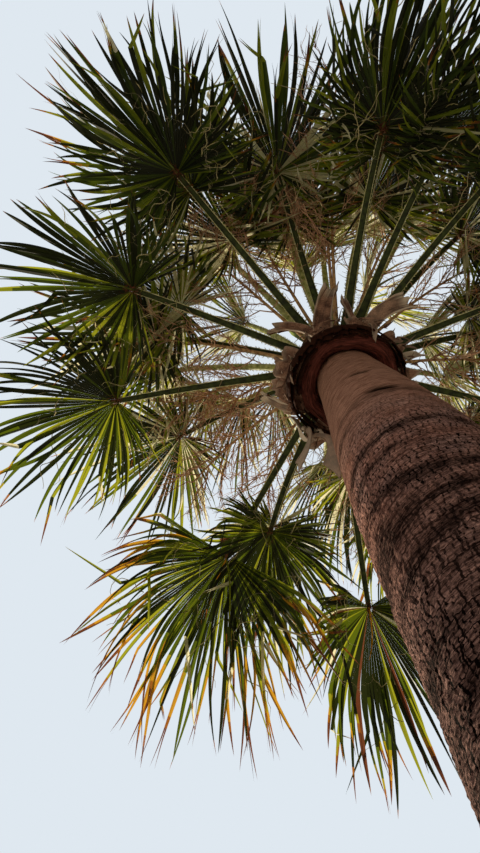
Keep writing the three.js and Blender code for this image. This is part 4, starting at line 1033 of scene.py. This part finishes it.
def fan(frond, look, draw):
    """A frond's leaflets as quads, with a tint number for each. A leaflet is two half strips along its fold.
    Up to its split each outer edge lies at the angle it shares with its neighbour; past it the width falls
    as a power of what is left, and the leaflet sways, twists, lifts, hangs and may break or fray. Where the
    fan's splits begin, and their angles, come with them."""
    shares, turning, turned, limp, wide, *sizes, uneven, sways = LOOKS[look]
    joined_part, back, longer, more, shortening = sizes
    count = round(frond["leaflets"] * FINER * back * more)
    spread, radius = frond["spread"] * back, frond["radius"] * longer
    pitch = 2 * spread / count
    middle = (-spread + (np.arange(count) + 0.5) * pitch)[:, None]
    shorter = 1 - shortening * (1 - np.cos(middle))
    length = radius * shorter * (1.07 - draw.uniform(0, 1, (count, 1)) ** 1.5 * uneven)
    split_angle = -spread + np.arange(count + 1) * pitch
    splits = radius * (1 - shortening * (1 - np.cos(split_angle))) * JOINED_SHARE * joined_part
    splits = splits * (1 + SPLIT_VARIATION * draw.uniform(-1, 1, count + 1))
    splits = splits * np.where(draw.uniform(0, 1, count + 1) < TONGUE_SHARE, TONGUE_LENGTH, 1)
    reach = length * LEAF_STATIONS
    free_from = np.minimum(splits[:-1], splits[1:])[:, None]
    free = np.clip((reach - free_from) / (length - free_from), 0, 1)
    sway = draw.normal(0, sways, (count, 1)) * free**1.3
    limpness = limp * draw.gamma(1.5, 1.0, (count, 1))
    centre = leaflet_point(frond, middle + sway, reach, limpness)
    ahead = leaflet_point(frond, middle + sway, reach + 0.005, limpness)
    along = unit(ahead - centre)
    beside = leaflet_point(frond, middle + sway + 0.04, reach)
    beside = beside - leaflet_point(frond, middle + sway - 0.04, reach)
    above = unit(np.cross(along, beside))
    beside = unit(np.cross(above, along))
    fold = mix(FOLD, FOLD_END, free)
    half = pitch / 2 * np.minimum(reach, np.maximum(free_from, WIDEST * length)) / np.cos(fold)
    narrowed = (1.004 - free**FULLNESS) ** NARROWING * mix(1, wide, np.clip(free * 5, 0, 1))
    half = half * np.where(free > 0, narrowed, 1)
    twist = (draw.normal(0, TWIST, (count, 1)) * free)[..., None]
    turned_side = beside * np.cos(twist) + above * np.sin(twist)
    turned_up = above * np.cos(twist) - beside * np.sin(twist)
    rise = (half * np.sin(fold) / 2)[..., None]
    out = (half * np.cos(fold))[..., None]
    past_split = np.clip(reach - free_from, 0, None)
    lift = draw.normal(0, LIFT, (count, 1)) * past_split * free**0.5
    broken = draw.uniform(0, 1, (count, 1)) < BROKEN_SHARE
    break_at = free_from + (length - free_from) * draw.uniform(*BROKEN_SPAN, (count, 1))
    past = np.where(broken, np.clip(reach - break_at, 0, None), 0)[..., None]
    limp_way = unit(0.4 * draw.normal(0, 1, (count, 1, 3)) - UP)
    shift = past * (limp_way - along) * BROKEN_TURN + above * lift[..., None]
    gap = draw.uniform(0.0, FRAYED_GAP, (count, 1)) * (draw.uniform(0, 1, (count, 1)) < FRAYED_SHARE)
    frayed_share = np.clip((LEAF_STATIONS - FRAYED_FROM) / (1 - FRAYED_FROM), 0, 1)
    frayed = (gap * frayed_share**1.5)[..., None]
    strips = []
    for hand, split in ((-1, splits[:-1]), (1, splits[1:])):
        shared = leaflet_point(frond, middle + hand * pitch / 2, reach)
        bound = shared + above * (pitch / 2 * reach * np.tan(FOLD) / 2)[..., None]
        loose = centre + hand * turned_side * out + turned_up * rise
        outer = np.where((reach <= split[:, None])[..., None] & (free <= 0)[..., None], bound, loose)
        inner = centre - turned_up * rise
        strip = np.stack([inner, outer], 2) + (shift + hand * turned_side * frayed)[:, :, None]
        strips.append(strip if hand > 0 else strip[:, :, ::-1])
    strips = np.stack(strips, 1)
    kind = draw.choice([PAINTED_SHADE, GREEN, LIGHT, PAINTED_SUNLIT, RUST], count, p=shares)
    # Leaflets straight ahead get the darkest tint, as painted shade from the leaflets above them.
    ahead = np.cos(np.clip(middle[:, 0], -1.57, 1.57)) ** 2
    kind = np.where(draw.uniform(0, 1, count) < MIDDLE_SHADE * ahead, PAINTED_SHADE, kind)[:, None, None]
    hanging = draw.choice(BROKEN_TINTS, (count, 1, 1), p=BROKEN_SHARES)
    old = (draw.uniform(0, 1, count) < turning)[:, None, None]
    brown_from = BROWN_FROM - np.abs(draw.normal(0, BROWN_SPREAD, (count, 1, 1)))
    brown_from = brown_from - old * draw.uniform(*BROWN_SOONER, (count, 1, 1))
    brown_from = brown_from + draw.normal(0, 0.02, (count, 2, 1))
    gold_from = brown_from - np.where(old, draw.uniform(0.02, turned, (count, 2, 1)), 0)
    light_from = gold_from - np.where(old, draw.uniform(*LIGHT_SOONER, (count, 1, 1)), 0)
    station = (LEAF_STATIONS[1:] + LEAF_STATIONS[:-1]) / 2
    past_break = broken[..., None] & (station > (break_at / length)[..., None])
    tint = kind
    for past_here, changed in (
        (station > light_from, np.where(kind == PAINTED_SHADE, GREEN, LIGHT)),
        (past_break, hanging),
        (station > gold_from - 0.05 * old, OLIVE),
        (station > gold_from, GOLD),
        (station > brown_from - 0.05, AMBER),
        (station > brown_from, RUST),
    ):
        tint = np.where(past_here, changed, tint)
    stations = len(LEAF_STATIONS)
    faces = grid_faces(stations, 2, closed=False)[None] + np.arange(count * 2)[:, None, None] * stations * 2
    return strips.reshape(-1, 3), faces.reshape(-1, 4), tint.ravel(), (splits, split_angle)


def leaflet_blade(name, face, through, share):
    """Palm leaflet: a leathery blade with a waxy sheen and a fine grain, thin enough that lamplight behind it
    shows through. Each tint is one plain colour."""
    material, place = new_material(name)
    grain = add_node(material, "TexNoise", {"Vector": place, "Scale": 140.0, "Detail": 2.0})
    return finished(material, linear(face), 0.5, 0.3, grain, 0.15, 0.001, (through, share))


leaf_finish = {tint: leaflet_blade(f"leaflet_{tint}", *values) for tint, values in TINTS.items()}
draw = np.random.default_rng(130)
node_names = [f"frond_{number}_blade" for number in range(1, LOW_COUNT + 1)]
node_names += [f"frond_{LOW_COUNT + number}" for number in range(1, MIDDLE_COUNT + UPPER_COUNT + 1)]
tiers = {  # its fronds, how their fans look, and how many stand for the source's
    "low": (low_fronds, ["oldest", "second"] + ["low"] * (len(low_fronds) - 2), LOW_COUNT),
    "middle": (middle_fronds, ["middle"] * len(middle_fronds), MIDDLE_COUNT),
    "upper": (upper_fronds, ["upper"] * len(upper_fronds), UPPER_COUNT),
}
fan_splits = []
for tier, (members, looks, noded) in tiers.items():
    nodes, node_names = node_names[:noded], node_names[noded:]
    fans = [fan(frond, look, draw) for frond, look in zip(members, looks, strict=True)]
    fan_splits += [(frond, *split) for frond, (*_, split) in zip(members, fans, strict=True)]
    points, faces = joined([(points, faces) for points, faces, *_ in fans])
    tint_numbers = np.concatenate([tint for _, _, tint, _ in fans])
    for number, tint in enumerate(TINTS):
        used, chosen = np.unique(faces[tint_numbers == number], return_inverse=True)
        make_piece(
            f"{tier}_leaflets_{tint}", points[used], chosen.reshape(-1, 4), leaf_finish[tint],
            "young_leaf" if tier == "upper" else "leaf", nodes if tint == "green" else (),
        )


# Midribs
# The stalk's end runs on under the fan as a tapering rib, which turns yellow and orange on old fans. On the
# upper side it ends in a short horny flap at the hub.
MIDRIB_SHARE = 0.3
MIDRIB_RADIUS = 0.28  # of the width of the stalk's end
MIDRIB_TAPER = ((0, 1.0), (0.35, 0.7), (1, 0.16))  # share of its length, and of its width
HUB_FLAP_LENGTH, HUB_FLAP_RISE, HUB_FLAP_RADII = 0.075, 0.028, (0.02, 0.017, 0.009, 0.002)


def midrib(frond, draw):
    """A rib along the fan's middle, bowed a little to one side, lying just under the leaflets."""
    share = np.linspace(0, 1, 9)
    reach = share * frond["radius"] * MIDRIB_SHARE
    bow = draw.normal(0, 0.1) * share**2
    radius = STALK_END_WIDTH * MIDRIB_RADIUS * np.interp(share, *np.transpose(MIDRIB_TAPER))
    path = leaflet_point(frond, bow, reach) - frond["normal"] * (radius[:, None] * 0.5 + 0.004)
    return rods(path[None], radius[None], 7)


def hub_flap(frond):
    """The horny flap on the fan's upper side: a short flattened spike that leans on the leaflets."""
    share = np.array([0, 0.4, 0.8, 1])
    path = (
        frond["hub"]
        + frond["heading"] * ((share - 0.25) * HUB_FLAP_LENGTH)[:, None]
        + frond["normal"] * (0.008 + HUB_FLAP_RISE * np.sin(np.pi * share * 0.6))[:, None]
    )
    return rods(path[None], [HUB_FLAP_RADII], 7)


draw = np.random.default_rng(140)
ribs = [midrib(frond, draw) for frond in fronds]
turning_finish = waxy_skin("turning_rib", "#c27612", "#f0b830", 0.4, 40)
make_piece("midribs_turning", *joined(ribs[:2]), turning_finish, "stalk")
make_piece("midribs", *joined(ribs[2:]), waxy_skin("green_rib", "#3c4a18", "#6c7430", 0.4, 40), "stalk")
make_piece(
    "hub_flaps", *joined([hub_flap(frond) for frond in fronds]),
    waxy_skin("horny_flap", "#241a0e", "#4c3820", 0.5, 50), "stalk",
)


# Threads
# Where two leaflets part, a pale thread of fibre peels off their edges and curls in the wind. Long dry strips
# of leaflet hang among the fans, and a tangle of dead brown fibres sits round each hub.
THREAD_STEPS, THREAD_FALL, THREAD_END = 10, 0.12, 0.35  # fall at each step, and the end's share of its radius
THREAD_WILDNESS, TANGLE_WILDNESS = 0.4, 0.6  # how far a step turns at random
TANGLE, TANGLE_RADIUS, TANGLE_LENGTH, TANGLE_SPREAD = 40, 0.0022, (0.05, 0.2), 0.02  # fibres round each hub
# The share of a fan's splits that one hangs from, its radius, its least and greatest length. A thread's
# radius is twice the real one, to show.
THREADS, STRIPS = (0.5, 0.0012, (0.08, 0.4)), (0.22, 0.0045, (0.2, 0.7))


def curling(start, way, length, radius, wildness, draw):
    """Rods that set off from a start: each step turns by a little at random, and downwards."""
    path = [start]
    for _ in range(THREAD_STEPS):
        way = unit(way + wildness * draw.normal(0, 1, way.shape) - THREAD_FALL * UP)
        path.append(path[-1] + way * length / THREAD_STEPS)
    path = np.stack(path, 1)
    return rods(path, radius * np.linspace(1, THREAD_END, THREAD_STEPS + 1) + np.zeros(path.shape[:2]), 3)


def threads(frond, splits, angles, share, radius, lengths, draw):
    """Curling threads or strips from a share of a fan's splits, that set off along the leaflets."""
    chosen = draw.uniform(0, 1, len(splits)) < share
    start = leaflet_point(frond, angles[chosen], splits[chosen])
    length = draw.uniform(*lengths, (len(start), 1))
    return curling(start, unit(start - frond["hub"]), length, radius, THREAD_WILDNESS, draw)


def tangle(frond, draw):
    """Dead fibres round the hub, every way along the fan."""
    way = unit(draw.normal(0, 1, (TANGLE, 3)) + 0.4 * frond["heading"])
    start = frond["hub"] + TANGLE_SPREAD * draw.normal(0, 1, (TANGLE, 3))
    length = draw.uniform(*TANGLE_LENGTH, (TANGLE, 1))
    return curling(start, way, length, TANGLE_RADIUS, TANGLE_WILDNESS, draw)


draw = np.random.default_rng(150)
for piece_name, size, finish_name, tones in (
    ("leaf_threads", THREADS, "pale_thread", ("#b8ab84", "#e2d8b8", (40, 40, 40))),
    ("dry_strips", STRIPS, "dry_leaflet", ("#8f8450", "#e0d4a4", (20, 20, 20))),
):
    curls = joined([threads(*fan_split, *size, draw) for fan_split in fan_splits])
    make_piece(piece_name, *curls, fibre_mat(finish_name, *tones), "leaf")
make_piece(
    "hub_tangles", *joined([tangle(frond, draw) for frond in fronds]),
    fibre_mat("dead_fibre", "#46241a", "#a2644a", (40, 40, 40)), "leaf",
)


# Young leaves
# The newest leaves stand up in the middle of the crown like closed fans: pleats pressed together, pale at
# their edges, with their tips just coming apart.
SPEAR_WIDTH, SPEAR_DEPTH = 0.09, 0.6  # the depth is a share of the width
# Azimuth, tilt from upright and length. The first two stand for the source's.
SPEARS = ((40, 6, 1.56), (-150, 11, 1.38), (125, 17, 1.22), (-92, 21, 1.14), (-30, 15, 1.28))
SPEAR_SHAPE = ((0, 0.5), (0.45, 0.62), (0.75, 1), (1, 0.12))  # shares of its length and width
SPEAR_SPACING, SPEAR_FOOT = 0.07, 0.7  # from the crown's axis, and above the tip
SPEAR_PLEATS, SPEAR_ROWS = 11, 30
SPEAR_TIPS, SPEAR_OPEN_FROM, SPEAR_OPENING = (0.84, 1.0), 0.8, 0.5  # where pleats end and part, and how far


def spear(azimuth, tilt, length, draw):
    """A closed fan: a tube whose section is a star of pleats, with each pleat's tip at its own height."""
    foot = crown_point(azimuth, SPEAR_SPACING, SPEAR_FOOT)
    tilt = np.radians(tilt)
    along = np.cos(tilt) * UP + np.sin(tilt) * outward(azimuth)
    across = np.cross(outward(azimuth), UP)
    upward = np.cross(along, across)
    share = np.linspace(0, 1, SPEAR_ROWS)[:, None]
    columns = SPEAR_PLEATS * 2
    angle = 2 * np.pi * np.arange(columns)[None, :] / columns
    ridge = np.arange(columns)[None, :] % 2 == 0
    tip = np.repeat(draw.uniform(*SPEAR_TIPS, SPEAR_PLEATS), 2)[None, :]
    swell = np.interp(share, *np.transpose(SPEAR_SHAPE)) * np.where(ridge, 1, 0.7 - 0.2 * share)
    opened = 1 + SPEAR_OPENING * eased(share, SPEAR_OPEN_FROM, 1.0) * draw.uniform(0, 1, (1, columns))
    half = SPEAR_WIDTH / 2 * swell * opened
    points = (
        foot
        + along * (share * tip * length)[..., None]
        + across * (half * np.cos(angle))[..., None]
        + upward * (half * SPEAR_DEPTH * np.sin(angle))[..., None]
    )
    points = with_ends(points, points[0].mean(0), points[-1].mean(0))
    return points.reshape(-1, 3), grid_faces(SPEAR_ROWS + 2, columns, closed=True)


draw = np.random.default_rng(160)
spears = [spear(*row, draw) for row in SPEARS]
make_piece(
    "spear_leaves", *joined(spears), leaflet_blade("closed_leaflet", "#8a9a52", "#c0cc74", 0.2),
    "young_leaf", ["spear_leaf_1", "spear_leaf_2"],
)


# Fruit stalks
# Long arching stems stand out between the leaf stalks and break up into red-brown side branches and a
# tangle of fine dry twigs, whose small fruit has dropped.
FRUIT_STALK_WIDTH, FRUIT_STALK_TIP = 0.03, 0.012
FRUIT_STALK_ARCH, FRUIT_STALK_BEND = 0.28, 0.62  # how high it arches, and at what share of its reach
BRANCHES, TWIGS = 26, 13  # branches on a stem, and fine twigs on a branch
BRANCH_SPAN, BRANCH_TURN, BRANCH_FALL = (0.24, 1.0), 0.8, 0.45
BRANCH_SAG, BRANCH_WANDER = 0.14, 0.02
BRANCH_LENGTH, BRANCH_RADII, BRANCH_STATIONS = 0.42, (0.0055, 0.0022), 7
TWIG_LENGTH, TWIG_RADII, TWIG_STEPS = (0.07, 0.22), (0.0026, 0.0013), 3
TWIG_SPREAD, TWIG_WANDER = 0.55, 0.2  # how far a twig turns at random at its foot, and at each step
# Azimuth, reach, height of the tip above the trunk's tip, height of the foot. The first six stand for the
# source's, and the rest stand between them by the same rule.
FRUIT_STALKS = (
    (140, 1.5, 0.62, 0.5), (-172, 1.56, 0.64, 0.48), (-90, 1.7, 0.9, 0.5),
    (-30, 1.5, 0.84, 0.59), (2, 1.5, 0.62, 0.47), (75, 1.5, 0.7, 0.48),
    (163, 1.3, 0.8, 0.56), (115, 1.35, 0.9, 0.56), (-140, 1.45, 0.95, 0.56),
    (-60, 1.5, 1.0, 0.58), (35, 1.4, 0.9, 0.56), (-107, 1.2, 1.1, 0.58),
    (-88, 2.1, 0.95, 0.52), (-120, 1.3, 1.0, 0.56), (150, 1.0, 1.1, 0.58),
)
SOURCE_STALKS = 6


def fruit_stalk(azimuth, reach, tip_height, foot, draw):
    """A stem on a quadratic curve, branches that turn to either side and fall, and twigs that leave each
    branch every way, as three bundles of rods."""
    start = crown_point(azimuth, collar_radius(azimuth, foot) - STALK_SINK, foot)
    end = crown_point(azimuth, reach, tip_height)
    bend = crown_point(azimuth, reach * FRUIT_STALK_BEND, max(foot, tip_height) + FRUIT_STALK_ARCH)
    ends, side = (start, bend, end), np.cross(UP, outward(azimuth))
    share = np.linspace(0, 1, 16)
    stem = rods(curve_point(ends, share)[None], mix(FRUIT_STALK_WIDTH, FRUIT_STALK_TIP, share)[None] / 2, 8)
    place = np.linspace(*BRANCH_SPAN, BRANCHES)
    hand = np.where(np.arange(BRANCHES) % 2, 1, -1) * (BRANCH_TURN + 0.35 * draw.uniform(-1, 1, BRANCHES))
    fall = -BRANCH_FALL + 0.7 * draw.uniform(-1, 1, BRANCHES)
    way = unit(curve_way(ends, place) + side * hand[:, None] + UP * fall[:, None])
    length = BRANCH_LENGTH * (1.25 - 0.5 * place) * (1 + 0.25 * draw.uniform(-1, 1, BRANCHES))
    length = length[:, None, None]
    step = np.linspace(0, 1, BRANCH_STATIONS)[None, :, None]
    wander = np.cumsum(draw.normal(0, BRANCH_WANDER, (BRANCHES, BRANCH_STATIONS, 3)), axis=1) * (step > 0)
    branch = curve_point(ends, place)[:, None] + way[:, None] * length * step
    branch = branch - UP * BRANCH_SAG * (length * 2 * step) ** 2 + wander * length * 2
    radii = np.linspace(*BRANCH_RADII, BRANCH_STATIONS) + np.zeros(branch.shape[:2])
    branch_rods = rods(branch, radii, 4)
    count = BRANCHES * TWIGS
    from_branch = np.repeat(np.arange(BRANCHES), TWIGS)
    at = draw.uniform(0.12, 1, count) * (BRANCH_STATIONS - 1)
    low = np.minimum(at.astype(int), BRANCH_STATIONS - 2)
    root = mix(branch[from_branch, low], branch[from_branch, low + 1], (at - low)[:, None])
    twig_way = unit(way[from_branch] + TWIG_SPREAD * draw.normal(0, 1, (count, 3)) - 0.1 * UP)
    twig_length = draw.uniform(*TWIG_LENGTH, count)[:, None]
    path = [root]
    for _ in range(TWIG_STEPS):
        twig_way = unit(twig_way + TWIG_WANDER * draw.normal(0, 1, (count, 3)))
        path.append(path[-1] + twig_way * twig_length / TWIG_STEPS)
    path = np.stack(path, 1)
    twig_rods = rods(path, np.linspace(*TWIG_RADII, TWIG_STEPS + 1) + np.zeros(path.shape[:2]), 3)
    return stem, branch_rods, twig_rods


draw = np.random.default_rng(170)
stems, branches, twigs = zip(*[fruit_stalk(*row, draw) for row in FRUIT_STALKS], strict=True)
make_piece(
    "fruit_stems", *joined(stems), waxy_skin("fruit_stem_skin", "#86603e", "#d2ac78", 0.6, 30), "fruit_stalk",
    [f"fruit_stalk_{number}" for number in range(1, SOURCE_STALKS + 1)],
)
# The branches and twigs are red-brown, lightened towards cream as painted sunlight.
sunlit_twig_finish = fibre_mat("dry_twig_sunlit", "#84503a", "#efc6a0", (14, 14, 14))
make_piece("fruit_branches", *joined(branches), sunlit_twig_finish, "fruit_stalk")
make_piece("fruit_twigs", *joined(twigs), sunlit_twig_finish, "fruit_stalk")


def plain(box):
    """A box's two corners as lists of numbers."""
    return [[round(float(value), 5) for value in corner] for corner in box]
